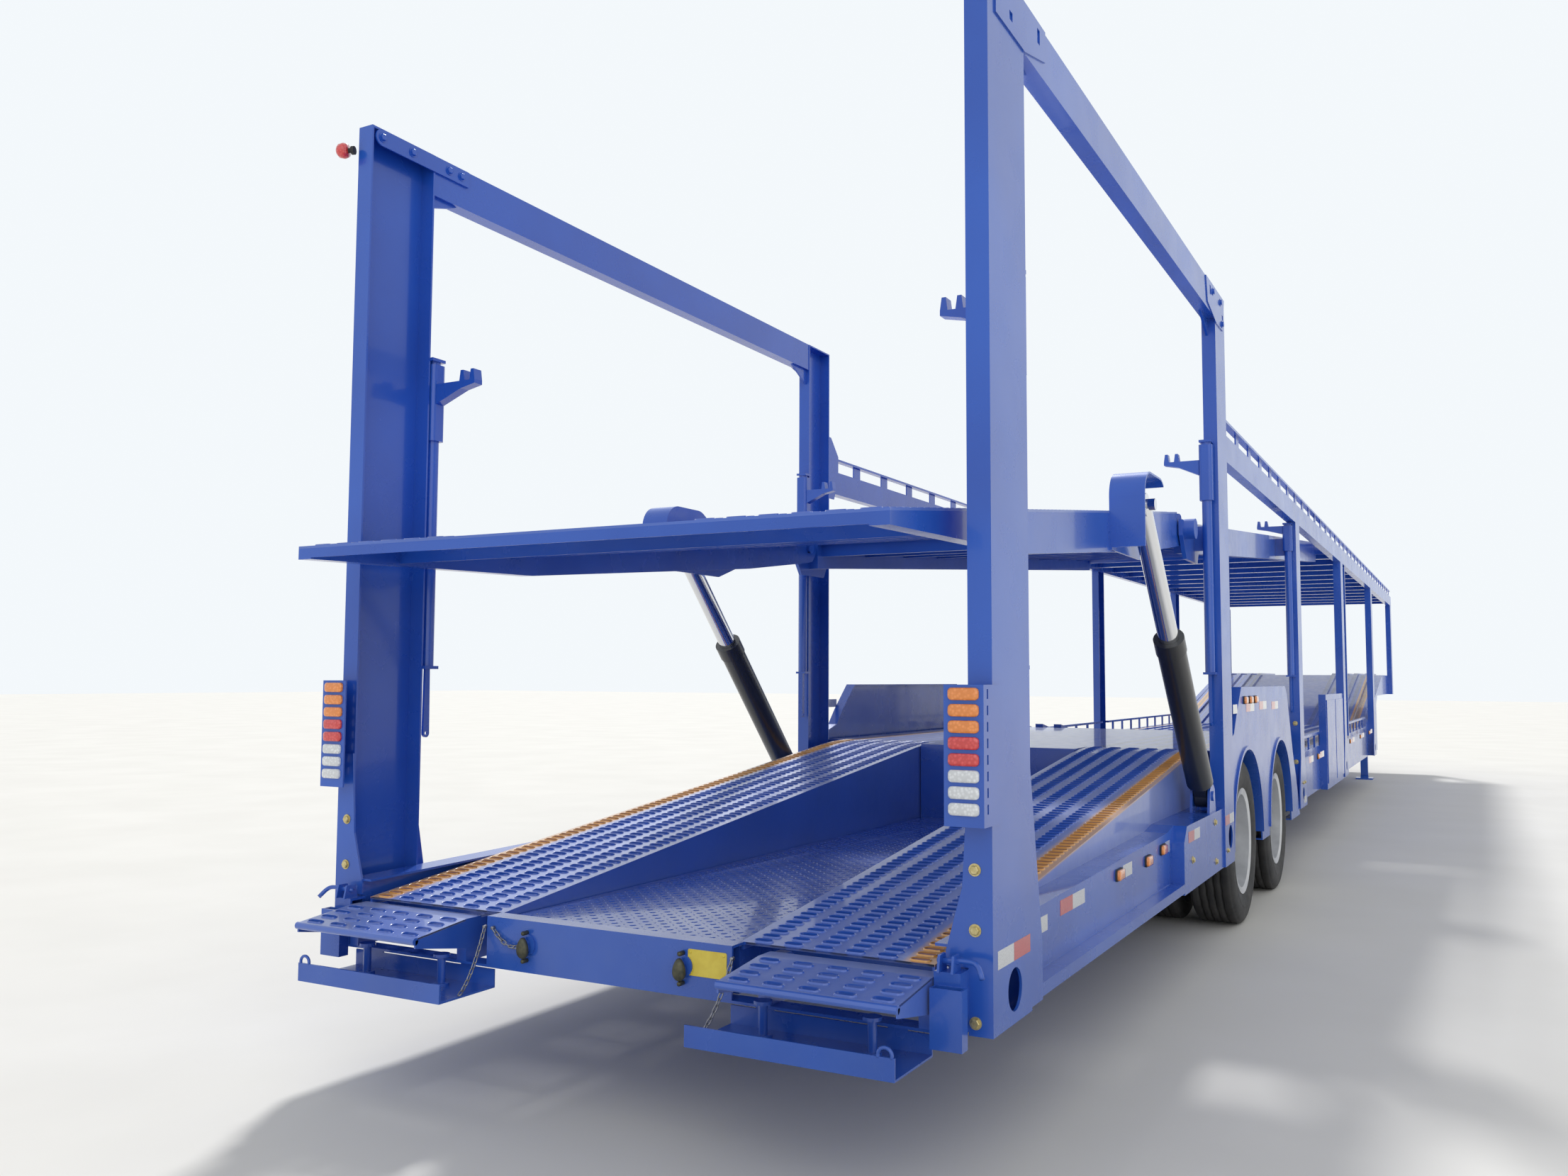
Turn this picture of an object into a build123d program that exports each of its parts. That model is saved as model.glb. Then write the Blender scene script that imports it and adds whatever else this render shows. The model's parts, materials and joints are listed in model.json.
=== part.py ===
from build123d import *
import os
from math import atan2, cos, degrees, hypot, radians, sin

# A two-axle, double-deck car transporter semi-trailer, standing on its wheels and landing legs.
# Millimetres. +X runs forward to the kingpin, +Y to the trailer's left, +Z up, ground at Z = 0.
# A station is a distance forward of the rear posts' rear face.

# Overall sizes
NOSE = 18850
TAIL = 345
HALF_WIDTH = 1250
POST_TOP = 3460
X0 = (TAIL - NOSE) / 2

# Layout across the trailer, as distances from its centre line
SHEET = 8
POST_WIDTH = 70
BEAM_WIDTH = 60
PANEL_INSET = 10
POST_IN = HALF_WIDTH - POST_WIDTH
BEAM_IN = POST_IN - BEAM_WIDTH
PANEL_OUT = HALF_WIDTH - PANEL_INSET
RAMP_IN = 460
RAMP_OUT = BEAM_IN - 40
INNER_BEAM_OUT = RAMP_IN - 6
INNER_BEAM_IN = INNER_BEAM_OUT - 64
DECK_SIDE = POST_IN - 80

# Rear and second posts: station of the rear face, depth along the trailer
POST_WALL = 8
REAR_POST = 0
REAR_POST_DEPTH = 328
SECOND_POST = 3560
SECOND_POST_DEPTH = 278
SECOND_POST_FRONT = SECOND_POST + SECOND_POST_DEPTH

# Wheels and axles
TYRE_R = 465
TYRE_WIDTH = 255
RIM_R = 270
TWIN_CENTRE = HALF_WIDTH - 315
TWIN_OFFSET = 157.5
ARCH_R = TYRE_R + 55
ARCH_GAP = 22
AXLE_SPACING = 1360
REAR_AXLE = SECOND_POST_FRONT + ARCH_R + ARCH_GAP
AXLES = {"rear": REAR_AXLE, "front": REAR_AXLE + AXLE_SPACING}
GUARD = 5
SPINDLE_R = 40
HUB_GAP = 0.5

# Stations along the lower deck
WALL = SECOND_POST + 40
RAMP_END = WALL + 90
CREST = 150
AXLE_DECK_END = AXLES["front"] + 860
WELL_START = AXLE_DECK_END + 1200
NECK_LENGTH = 2850
BULKHEAD = NOSE - NECK_LENGTH
WELL_END = BULKHEAD - 2000
NECK_START = BULKHEAD + 1400
KINGPIN = NOSE - 600
LEG_STATION = BULKHEAD + 400

# Forward posts
THIRD_POST = AXLES["front"] + 1070
FOURTH_POST = THIRD_POST + 3570
FIFTH_POST = WELL_END + 420
FORWARD_POST_DEPTH = 230
FRONT_POST = NOSE - FORWARD_POST_DEPTH - 20

# Heights
FRAME_BOTTOM = 440
CHASSIS_BOTTOM = FRAME_BOTTOM - 10
POST_FOOT = FRAME_BOTTOM - 20
FLOOR_FRAME_TOP = 572
REAR_BEAM_TOP = 595
BASE_BOX_TOP = 720
AXLE_DECK = TYRE_R + ARCH_R + GUARD + SHEET + 2
AXLE_FRAME_BOTTOM = 690
WELL_DECK = 800
NECK_DECK = 1470
NECK_BOTTOM = 1180
RAIL_BOTTOM = 2570
RAIL_TOP = RAIL_BOTTOM + 145
RAILING_TOP = RAIL_TOP + 95

# Rear platform and its cylinders, as (station, height)
PIVOT = (SECOND_POST - 260, 2150)
PIVOT_R = 30
PLATFORM_SLOPE = 0.115
PLATFORM_RISE = 90
PLATFORM_BEAM_WIDTH = 60
ROD_PIN = (PIVOT[0] - 1220, 2120)
BASE_PIN = (PIVOT[0] + 45, 800)
CYLINDER_Y = POST_IN
CYLINDER_PIN_R = 25
EYE_R = 58
EYE_WIDTH = 60
BARREL_R = 65
GLAND_R = 70
ROD_R = 46
BARREL_START = 100
BARREL_LENGTH = 1070
BORE_START = 130
ROD_START = 445

# Upper decks: the middle one rises forward
MID_START = PIVOT[0] + 120
MID_END = FOURTH_POST - 780
MID_TOP_START = 2200
MID_SLOPE = 0.08
MID_DEPTH = 190
UPPER_DECK = 2700
UPPER_START = MID_END + 120

# Guide tubes and lock sleeves
GUIDE_R = 25
GUIDE_Y = POST_IN + 18
GUIDE_OFF = 40
GUIDE_LOW = 1410
GUIDE_HIGH = 2640
COLLAR_HALF = GUIDE_R + 6
COLLAR = 12
SLEEVE_HALF = 34
LEVER = 250
LEVER_END_R = 16

PIECES = {}


# Shapes
def side_slab(outline, y0, y1):
    """A prism drawn in side view as (station, height), spanning y0 to y1."""
    plane = Plane(origin=(X0, max(y0, y1), 0), x_dir=(1, 0, 0), z_dir=(0, -1, 0))
    return extrude(plane * make_face(Polyline(*outline, close=True)), abs(y1 - y0))


def cross_slab(outline, s0, s1):
    """A prism drawn from behind as (y, height), spanning stations s0 to s1."""
    plane = Plane(origin=(X0 + s0, 0, 0), x_dir=(0, 1, 0), z_dir=(1, 0, 0))
    return extrude(plane * make_face(Polyline(*outline, close=True)), s1 - s0)


def bar(s0, s1, y0, y1, z0, z1):
    """A straight bar or plate between two stations, two widths and two heights."""
    centre = (X0 + (s0 + s1) / 2, (y0 + y1) / 2, (z0 + z1) / 2)
    return Pos(*centre) * Box(s1 - s0, abs(y1 - y0), z1 - z0)


def round_x(s0, s1, y, z, radius):
    """A round bar along the trailer."""
    return Pos(X0 + (s0 + s1) / 2, y, z) * Rot(0, 90, 0) * Cylinder(radius, s1 - s0)


def round_y(at, radius, y0, y1):
    """A round bar across the trailer at (station, height)."""
    return Pos(X0 + at[0], (y0 + y1) / 2, at[1]) * Rot(90, 0, 0) * Cylinder(radius, abs(y1 - y0))


def round_z(s, y, radius, z0, z1):
    """A round bar standing at (station, y)."""
    return Pos(X0 + s, y, (z0 + z1) / 2) * Cylinder(radius, z1 - z0)


def moved(outline, at):
    """An outline drawn about a point, placed at that point."""
    return [(at[0] + x, at[1] + z) for x, z in outline]


def strip(line, s0, s1, top, depth):
    """Side outline of a sloping strip: top below a line that gives height by station."""
    return [(s0, line(s0) - top), (s1, line(s1) - top), (s1, line(s1) - depth), (s0, line(s0) - depth)]


def both_hands(name, left):
    """Stores a left-hand piece and its mirror image on the right as two pieces."""
    PIECES[name + "_left"] = left
    PIECES[name + "_right"] = mirror(left, Plane.XZ)


def pair(left):
    """A left-hand shape with its mirror image, as one piece."""
    return Compound(left.solids() + mirror(left, Plane.XZ).solids())


# Chassis
def deck_line(drop=0):
    """Top line of the front lower deck from the axle deck to the nose, lowered by drop."""
    knees = [
        (AXLE_DECK_END, AXLE_DECK),
        (WELL_START, WELL_DECK),
        (WELL_END, WELL_DECK),
        (NECK_START, NECK_DECK),
        (NOSE, NECK_DECK),
    ]
    return [(s, z - drop) for s, z in knees]


FRONT_BEAM_START = AXLE_DECK_END - 200
FRONT_BEAM_TOP = WELL_DECK + 15
BASE_BOX_START = SECOND_POST - 990
FLANGE_HEIGHT = 40


def chassis_beam():
    rear = [
        (REAR_POST, CHASSIS_BOTTOM),
        (SECOND_POST_FRONT, CHASSIS_BOTTOM),
        (SECOND_POST_FRONT, BASE_BOX_TOP),
        (BASE_BOX_START + 70, BASE_BOX_TOP),
        (BASE_BOX_START - 70, BASE_BOX_TOP - 20),
        (REAR_POST, BASE_BOX_TOP - 65),
    ]
    front = [
        (FRONT_BEAM_START, FRAME_BOTTOM),
        (BULKHEAD, FRAME_BOTTOM),
        (BULKHEAD, NECK_BOTTOM - 120),
        (BULKHEAD + 250, NECK_BOTTOM),
        (NOSE, NECK_BOTTOM),
        (NOSE, NECK_DECK),
        (NECK_START, NECK_DECK),
        (WELL_END, FRONT_BEAM_TOP),
        (FRONT_BEAM_START, FRONT_BEAM_TOP),
    ]
    back = side_slab(rear, BEAM_IN, POST_IN)
    flange_top = CHASSIS_BOTTOM + FLANGE_HEIGHT
    back += bar(REAR_POST_DEPTH, BASE_BOX_START, POST_IN, PANEL_OUT, CHASSIS_BOTTOM, flange_top)
    cover = rear[2:]
    back += side_slab(cover + [(s, z - SHEET) for s, z in cover[::-1]], RAMP_OUT, BEAM_IN)
    return Compound(back.solids() + side_slab(front, BEAM_IN, POST_IN).solids())


both_hands("chassis_beam", chassis_beam())

CORNER_BLOCK = (POST_IN - 72, POST_IN + 20)
MOUTH = (RAMP_IN + 10, CORNER_BLOCK[0] - 4)
CATCH_Y = 300
CATCH_HEIGHT = 520
CATCH_SEAT_R = 34
CATCH_STUD_R = 10
CATCH_DROP_R = 19


def catch(back, y):
    """A drop-shaped catch hanging on a stud in front of a round seat."""
    r = CATCH_DROP_R
    seat = round_x(back - 6, back, y, CATCH_HEIGHT, CATCH_SEAT_R)
    stud = round_x(back - 26, back - 6, y, CATCH_HEIGHT + 6, CATCH_STUD_R)
    drop = round_x(back - 22, back - 12, y, CATCH_HEIGHT - 10, r)
    taper = [(-r, -10), (r, -10), (5, 24), (-5, 24)]
    return seat + stud + drop + cross_slab(moved(taper, (y, CATCH_HEIGHT)), back - 22, back - 12)


def rear_cross_beam():
    """A hollow beam with corner blocks, open under each ramp where a loading ladder slides in."""
    back = REAR_POST - 70
    wall = SHEET
    beam = bar(back, REAR_POST, -POST_IN, POST_IN, CHASSIS_BOTTOM, REAR_BEAM_TOP)
    beam -= bar(
        back + wall,
        REAR_POST,
        -POST_IN + wall,
        POST_IN - wall,
        CHASSIS_BOTTOM + wall,
        REAR_BEAM_TOP - wall,
    )
    for side in (1, -1):
        beam -= bar(back, REAR_POST, side * MOUTH[0], side * MOUTH[1], CHASSIS_BOTTOM + wall, REAR_BEAM_TOP)
        block = bar(back - 42, back, side * CORNER_BLOCK[0], side * CORNER_BLOCK[1], POST_FOOT - 20, 560)
        y0, y1 = side * (CORNER_BLOCK[0] + 6), side * (CORNER_BLOCK[1] - 6)
        block -= bar(back - 36, back - 6, y0, y1, 480, 560)
        beam = beam + block + catch(back, side * CATCH_Y)
    return beam


PIECES["rear_cross_beam"] = rear_cross_beam()

CROSS_WIDTH = 100
CROSS_DEPTH = 80
NECK_CROSS_DEPTH = 50
REAR_PITCH = 640
WELL_PITCH = 850
SLOPE_PITCH = 800
CROSS_REAR = [260 + REAR_PITCH * k for k in range(int((WALL - 300) / REAR_PITCH) + 1)]
CROSS_AXLE = [AXLES["rear"] - 415, sum(AXLES.values()) / 2, AXLES["front"] + 720]
WELL_COUNT = int((WELL_END - WELL_START - CROSS_WIDTH) / WELL_PITCH) + 1
CROSS_WELL = [WELL_START + CROSS_WIDTH / 2 + WELL_PITCH * k for k in range(WELL_COUNT)]
CROSS_SLOPE = [BULKHEAD - 600 - SLOPE_PITCH * k for k in range(2)]
CROSS_NECK = [LEG_STATION, NECK_START - 200, NECK_START + 600, NOSE - 150]
INNER_NOSE = NOSE - SHEET


def slope_height(s):
    """Height of the front lower deck on its slope to the gooseneck."""
    return WELL_DECK + (s - WELL_END) * (NECK_DECK - WELL_DECK) / (NECK_START - WELL_END)


def cross_members():
    """Box members across the whole chassis, each one piece from beam to beam."""
    half = CROSS_WIDTH / 2
    # Each member: station, top, depth, reach to each side
    members = [(s, FLOOR_FRAME_TOP, CROSS_DEPTH, BEAM_IN) for s in CROSS_REAR]
    members += [(s, AXLE_DECK - SHEET, CROSS_DEPTH, POST_IN) for s in CROSS_AXLE]
    members += [(s, WELL_DECK - SHEET, CROSS_DEPTH, BEAM_IN) for s in CROSS_WELL]
    members += [(s, slope_height(s - half) - SHEET - 3, CROSS_DEPTH, BEAM_IN) for s in CROSS_SLOPE]
    members += [(s, NECK_BOTTOM + NECK_CROSS_DEPTH, NECK_CROSS_DEPTH, BEAM_IN) for s in CROSS_NECK]
    bars = [bar(s - half, s + half, -reach, reach, top - deep, top) for s, top, deep, reach in members]
    bars.append(bar(INNER_NOSE, NOSE, -BEAM_IN, BEAM_IN, NECK_BOTTOM, NECK_DECK - SHEET))
    return Compound([solid for box in bars for solid in box.solids()])


PIECES["cross_members"] = cross_members()


def inner_beam():
    """One inner beam from the rear cross-beam to the nose, notched for the cross-members."""
    top = [
        (INNER_NOSE, NECK_DECK - SHEET),
        (NECK_START, NECK_DECK - SHEET),
        (WELL_END, WELL_DECK - SHEET),
        (WELL_START, WELL_DECK - SHEET),
        (AXLE_DECK_END, AXLE_DECK - SHEET),
        (WALL, AXLE_DECK - SHEET),
        (WALL, FLOOR_FRAME_TOP),
        (REAR_POST, FLOOR_FRAME_TOP),
    ]
    bottom = [
        (REAR_POST, FRAME_BOTTOM),
        (WALL - 100, FRAME_BOTTOM),
        (WALL + 160, AXLE_FRAME_BOTTOM),
        (AXLE_DECK_END - 180, AXLE_FRAME_BOTTOM),
        (AXLE_DECK_END + 100, FRAME_BOTTOM),
        (BULKHEAD - 50, FRAME_BOTTOM),
        (BULKHEAD - 50, NECK_BOTTOM - 120),
        (BULKHEAD + 200, NECK_BOTTOM),
        (INNER_NOSE, NECK_BOTTOM),
    ]
    return side_slab(bottom + top, INNER_BEAM_IN, INNER_BEAM_OUT) - PIECES["cross_members"]


PIECES["inner_beams"] = pair(inner_beam())


# Lower deck
def centre_floor():
    reach = INNER_BEAM_OUT
    floor = bar(REAR_POST, WALL, -reach, reach, FLOOR_FRAME_TOP, FLOOR_FRAME_TOP + SHEET)
    return floor + bar(WALL - SHEET, WALL, -reach, reach, FLOOR_FRAME_TOP, AXLE_DECK - SHEET)


PIECES["centre_floor"] = centre_floor()


def ramp():
    """A pressed plate with a rounded crest and two skirts standing on the frame."""
    slope = (AXLE_DECK - REAR_BEAM_TOP) / RAMP_END
    top = [
        (REAR_POST, REAR_BEAM_TOP),
        (RAMP_END - CREST, AXLE_DECK - slope * CREST),
        (RAMP_END, AXLE_DECK - slope * CREST / 4),
        (RAMP_END + CREST, AXLE_DECK),
    ]
    foot = [(RAMP_END + CREST, FLOOR_FRAME_TOP), (REAR_POST, FLOOR_FRAME_TOP)]
    inner = [(s, z - SHEET) for s, z in top] + [(RAMP_END + CREST, 0), (REAR_POST, 0)]
    return side_slab(top + foot, RAMP_IN, RAMP_OUT) - side_slab(inner, RAMP_IN + SHEET, RAMP_OUT - SHEET)


both_hands("ramp", ramp())


def axle_deck():
    start = RAMP_END + CREST
    deck = bar(start, AXLE_DECK_END, -POST_IN, POST_IN, AXLE_DECK - SHEET, AXLE_DECK)
    return deck + bar(WALL, start, -INNER_BEAM_OUT, INNER_BEAM_OUT, AXLE_DECK - SHEET, AXLE_DECK)


PIECES["axle_deck"] = axle_deck()

RIB_WIDTH = 60
RIB_HEIGHT = 26
RIB_EDGES = [500, 650, 800, 950]


def front_lower_deck():
    """A folded deck plate with raised trackways that run to the nose."""
    under = deck_line(SHEET)[::-1]
    deck = side_slab(deck_line() + under, -BEAM_IN, BEAM_IN)
    rib = deck_line(-RIB_HEIGHT)
    for side in (1, -1):
        for y in RIB_EDGES:
            deck += side_slab(rib + under, side * y, side * (y + RIB_WIDTH))
    return deck


PIECES["front_lower_deck"] = front_lower_deck()

# Gooseneck and landing gear
PLATE_HEIGHT = 10
PIN_R = 25.4
PIN_COLLAR_R = 35.7
PIN_LEVELS = (12, 60, 84)
LEG_Y = TWIN_CENTRE + 45
LEG_HALF = 60
LEG_SPLIT = 470
SHOE_TOP = 60
FOOT_HEIGHT = 22


def kingpin_plate():
    top = NECK_BOTTOM - PLATE_HEIGHT
    reach = INNER_BEAM_IN + 60
    plate = bar(KINGPIN - 550, NOSE - 70, -reach, reach, top, NECK_BOTTOM)
    upper, lower, end = PIN_LEVELS
    plate += round_z(KINGPIN, 0, PIN_COLLAR_R, top - upper, top)
    plate += round_z(KINGPIN, 0, PIN_R, top - lower, top - upper)
    return plate + round_z(KINGPIN, 0, PIN_COLLAR_R, top - end, top - lower)


PIECES["kingpin_plate"] = kingpin_plate()


def landing_legs():
    s = LEG_STATION
    inner_half = LEG_HALF - 13
    legs = round_y((s, LEG_SPLIT * 2), 18, -LEG_Y, LEG_Y)
    for side in (1, -1):
        y = side * LEG_Y
        legs += bar(s - LEG_HALF, s + LEG_HALF, y - LEG_HALF, y + LEG_HALF, LEG_SPLIT, NECK_BOTTOM)
        legs += bar(s - inner_half, s + inner_half, y - inner_half, y + inner_half, SHOE_TOP, LEG_SPLIT)
        shoe = [(s - 70, FOOT_HEIGHT), (s + 70, FOOT_HEIGHT), (s + 40, SHOE_TOP), (s - 40, SHOE_TOP)]
        legs += side_slab(shoe, y - 50, y + 50)
        legs += bar(s - 110, s + 110, y - 110, y + 110, 0, FOOT_HEIGHT)
    return legs


PIECES["landing_legs"] = landing_legs()

# Wheelhouses
HOUSE_TOP = 1343
HOUSE_FRONT = 1010
ARCH_LIP = 20
TYRE_IN = TWIN_CENTRE - TWIN_OFFSET - TYRE_WIDTH / 2


def wheelhouse():
    """A flanged side panel with two arches, and a mudguard over each twin wheel."""
    rear, front = SECOND_POST_FRONT, AXLES["front"]
    outline = [
        (rear, POST_FOOT),
        (front + HOUSE_FRONT, POST_FOOT - 20),
        (front + 820, 700),
        (front + 680, 868),
        (front + 430, HOUSE_TOP - 53),
        (front + 340, HOUSE_TOP),
        (rear + 382, HOUSE_TOP),
        (rear + 202, HOUSE_TOP - 158),
        (rear + 112, HOUSE_TOP - 253),
        (rear, HOUSE_TOP - 283),
    ]
    plane = Plane(origin=(X0, PANEL_OUT - SHEET, 0), x_dir=(1, 0, 0), z_dir=(0, -1, 0))
    inside = plane * offset(make_face(Polyline(*outline, close=True)), -SHEET)
    panel = side_slab(outline, POST_IN, PANEL_OUT) - extrude(inside, PANEL_OUT - SHEET - POST_IN)
    for s in AXLES.values():
        at = (s, TYRE_R)
        panel -= round_y(at, ARCH_R, POST_IN, PANEL_OUT)
        mouth = [(-ARCH_R, 0), (ARCH_R, 0), (ARCH_R + 60, -TYRE_R), (-ARCH_R - 60, -TYRE_R)]
        panel -= side_slab(moved(mouth, at), POST_IN, PANEL_OUT)
    for s in AXLES.values():
        at = (s, TYRE_R)
        inner = TYRE_IN - 10
        guard = round_y(at, ARCH_R + GUARD, inner, PANEL_OUT - 1)
        guard -= round_y(at, ARCH_R - 3, inner, PANEL_OUT - 1)
        guard -= bar(s - 2 * ARCH_R, s + 2 * ARCH_R, inner, PANEL_OUT, -2 * ARCH_R, TYRE_R)
        band = (PANEL_OUT - SHEET, HALF_WIDTH)
        lip = round_y(at, ARCH_R + ARCH_LIP, *band) - round_y(at, ARCH_R, *band)
        lip -= bar(s - 2 * ARCH_R, s + 2 * ARCH_R, *band, -2 * ARCH_R, TYRE_R)
        panel += guard + lip
    return panel


both_hands("wheelhouse", wheelhouse())


# Posts: channels open towards the middle
def channel_post(s0, depth, foot, top):
    wall = POST_WALL
    shell = bar(s0, s0 + depth, POST_IN, HALF_WIDTH, foot, top)
    return shell - bar(s0 + wall, s0 + depth - wall, POST_IN, HALF_WIDTH - wall, foot + wall, top - wall)


def guide_tube(s, flange, high):
    """The tube a lock sleeve slides on, held off the post by plates, with a lever hanging at its foot."""
    tube = round_z(s, GUIDE_Y, GUIDE_R, GUIDE_LOW, high)
    near, far = sorted((flange, s + (COLLAR_HALF if s > flange else -COLLAR_HALF)))
    for z in (GUIDE_LOW, high - COLLAR):
        tube += bar(near, far, GUIDE_Y - COLLAR_HALF, GUIDE_Y + COLLAR_HALF, z, z + COLLAR)
    faces = (GUIDE_Y - 5, GUIDE_Y + 5)
    end = (s, GUIDE_LOW - LEVER)
    arm = [(-12, 4), (12, 4), (LEVER_END_R, -LEVER), (-LEVER_END_R, -LEVER)]
    lever = side_slab(moved(arm, (s, GUIDE_LOW)), *faces) + round_y(end, LEVER_END_R, *faces)
    return tube + lever - round_y(end, LEVER_END_R / 2, *faces)


REAR_GUIDE = REAR_POST_DEPTH + GUIDE_OFF
SECOND_GUIDE = SECOND_POST - GUIDE_OFF
THIRD_GUIDE = THIRD_POST - GUIDE_OFF
PEEP_R = 60
FOOT_HOLE_R = 46


def rear_post():
    front = REAR_POST + REAR_POST_DEPTH
    post = channel_post(REAR_POST, REAR_POST_DEPTH, POST_FOOT, POST_TOP)
    inner_flare = [
        (POST_IN, POST_FOOT),
        (HALF_WIDTH, POST_FOOT),
        (HALF_WIDTH, 1100),
        (POST_IN, 1100),
        (POST_IN - 17, 815),
        (POST_IN - 65, 640),
        (POST_IN - 65, REAR_BEAM_TOP + 5),
        (POST_IN, REAR_BEAM_TOP + 5),
    ]
    post += cross_slab(inner_flare, REAR_POST - SHEET, REAR_POST)
    front_flare = [(front, 430), (front + 102, 430), (front + 102, 600), (front, 1120)]
    post += side_slab(front_flare, HALF_WIDTH - POST_WALL, HALF_WIDTH)
    post -= round_y((REAR_POST + 175, 513), PEEP_R, PANEL_OUT, HALF_WIDTH + 1)
    return post + guide_tube(REAR_GUIDE, front, GUIDE_HIGH)


both_hands("rear_post", rear_post())


def second_post():
    post = channel_post(SECOND_POST, SECOND_POST_DEPTH, POST_FOOT, POST_TOP)
    post -= round_y((SECOND_POST + 160, 560), PEEP_R, PANEL_OUT, HALF_WIDTH + 1)
    box = [
        (BASE_BOX_START, POST_FOOT),
        (SECOND_POST, POST_FOOT),
        (SECOND_POST, BASE_BOX_TOP),
        (BASE_BOX_START + 70, BASE_BOX_TOP),
        (BASE_BOX_START, BASE_BOX_TOP - 70),
    ]
    return post + side_slab(box, POST_IN, PANEL_OUT) + guide_tube(SECOND_GUIDE, SECOND_POST, GUIDE_HIGH)


both_hands("second_post", second_post())


def forward_posts():
    feet = {s: FRAME_BOTTOM for s in (THIRD_POST, FOURTH_POST, FIFTH_POST)}
    feet[FRONT_POST] = NECK_BOTTOM
    solids = []
    for s, foot in feet.items():
        post = channel_post(s, FORWARD_POST_DEPTH, foot, RAIL_BOTTOM)
        if s == THIRD_POST:
            post += guide_tube(THIRD_GUIDE, THIRD_POST, RAIL_BOTTOM - POST_WALL)
        if foot == FRAME_BOTTOM:
            end = s + FORWARD_POST_DEPTH
            flare = [(s - 90, foot), (end + 90, foot), (end + 90, 560), (end, 800), (s, 800), (s - 90, 560)]
            post += side_slab(flare, HALF_WIDTH - POST_WALL, HALF_WIDTH)
            post -= round_y(((s + end) / 2, 540), FOOT_HOLE_R, PANEL_OUT, HALF_WIDTH + 1)
        solids += post.solids()
    return Compound(solids)


both_hands("forward_posts", forward_posts())

# Top beams and side rails
TOP_BEAM = (POST_TOP - 160, POST_TOP)
GUSSET_PLATE = 5
SPLICE_PLATE = 6
SPLICE_R = 32
SPLICE_END = 514


def top_beam():
    s0, s1 = REAR_POST + REAR_POST_DEPTH, SECOND_POST
    low, high = TOP_BEAM
    beam = bar(s0, s1, POST_IN + 4, HALF_WIDTH, low, high)
    # Gusset plates lap over the outer faces of both posts, with a slot and a square hole in each
    rear = [(60, low), (s0, low), (540, low + 58), (540, high), (60, high)]
    front = [(-260, high), (-225, low + 30), (20, low - 25), (213, low - 20), (260, high)]
    front = moved(front, (s1, 0))
    for plate, hole, slot in ((rear, 196, 467), (front, s1 + 200, s1 - 150)):
        beam += side_slab(plate, HALF_WIDTH, HALF_WIDTH + GUSSET_PLATE)
        sunk = (HALF_WIDTH, HALF_WIDTH + GUSSET_PLATE)
        beam -= bar(hole - 14, hole + 14, *sunk, low + 36, low + 64)
        beam -= bar(slot - 13, slot + 13, *sunk, low + 88, low + 136)
    # A splice plate with a round end laps over the rear post's inner edges
    joint, tip, low_edge = POST_IN - SPLICE_PLATE, REAR_POST + 14 + SPLICE_R, high - 4 - 2 * SPLICE_R
    beam += bar(s0, SPLICE_END, joint, POST_IN + 4, low_edge, high - 4)
    beam += bar(tip, s0, joint, POST_IN, low_edge, high - 4)
    beam += round_y((tip, low_edge + SPLICE_R), SPLICE_R, joint, POST_IN)
    for gusset in (
        [(s0, low - 50), (s0, low), (s0 + 145, low), (s0 + 100, low - 20)],
        [(s1, low - 90), (s1, low), (s1 - 190, low)],
    ):
        beam += side_slab(gusset, POST_IN + 20, POST_IN + 32)
    return beam


both_hands("top_beam", top_beam())

RAIL_IN = HALF_WIDTH - 60
RAILING_PITCH = 450
RAILING_TUBE = 14


def side_rail():
    """The upper side beam with the low railing that stands on it."""
    start = SECOND_POST_FRONT
    low = RAILING_TOP - RAILING_TUBE
    rail = bar(start, NOSE, RAIL_IN, HALF_WIDTH, RAIL_BOTTOM, RAIL_TOP)
    rail += bar(start, NOSE, RAIL_IN + 15, HALF_WIDTH - 5, low, RAILING_TOP)
    gusset = [(0, -40), (75, -40), (135, 95), (135, 245), (30, 356), (0, 356)]
    rail += side_slab(moved(gusset, (start, RAIL_BOTTOM)), RAIL_IN - 8, RAIL_IN)
    for k in range(int((NOSE - start - 100) / RAILING_PITCH) + 1):
        s = start + k * RAILING_PITCH
        rail += bar(s, s + 100, RAIL_IN + 31, RAIL_IN + 39, RAIL_TOP, low)
    return rail


both_hands("side_rail", side_rail())

# Upper decks
MID_OUT = DECK_SIDE + 6
MID_IN = MID_OUT - 60
MEMBER_DEPTH = 80
END_TUBE_R = 40
BOSS_R = 52


def mid_top(s):
    return MID_TOP_START + (s - MID_START) * MID_SLOPE


MID_MEMBERS = 10


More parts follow.
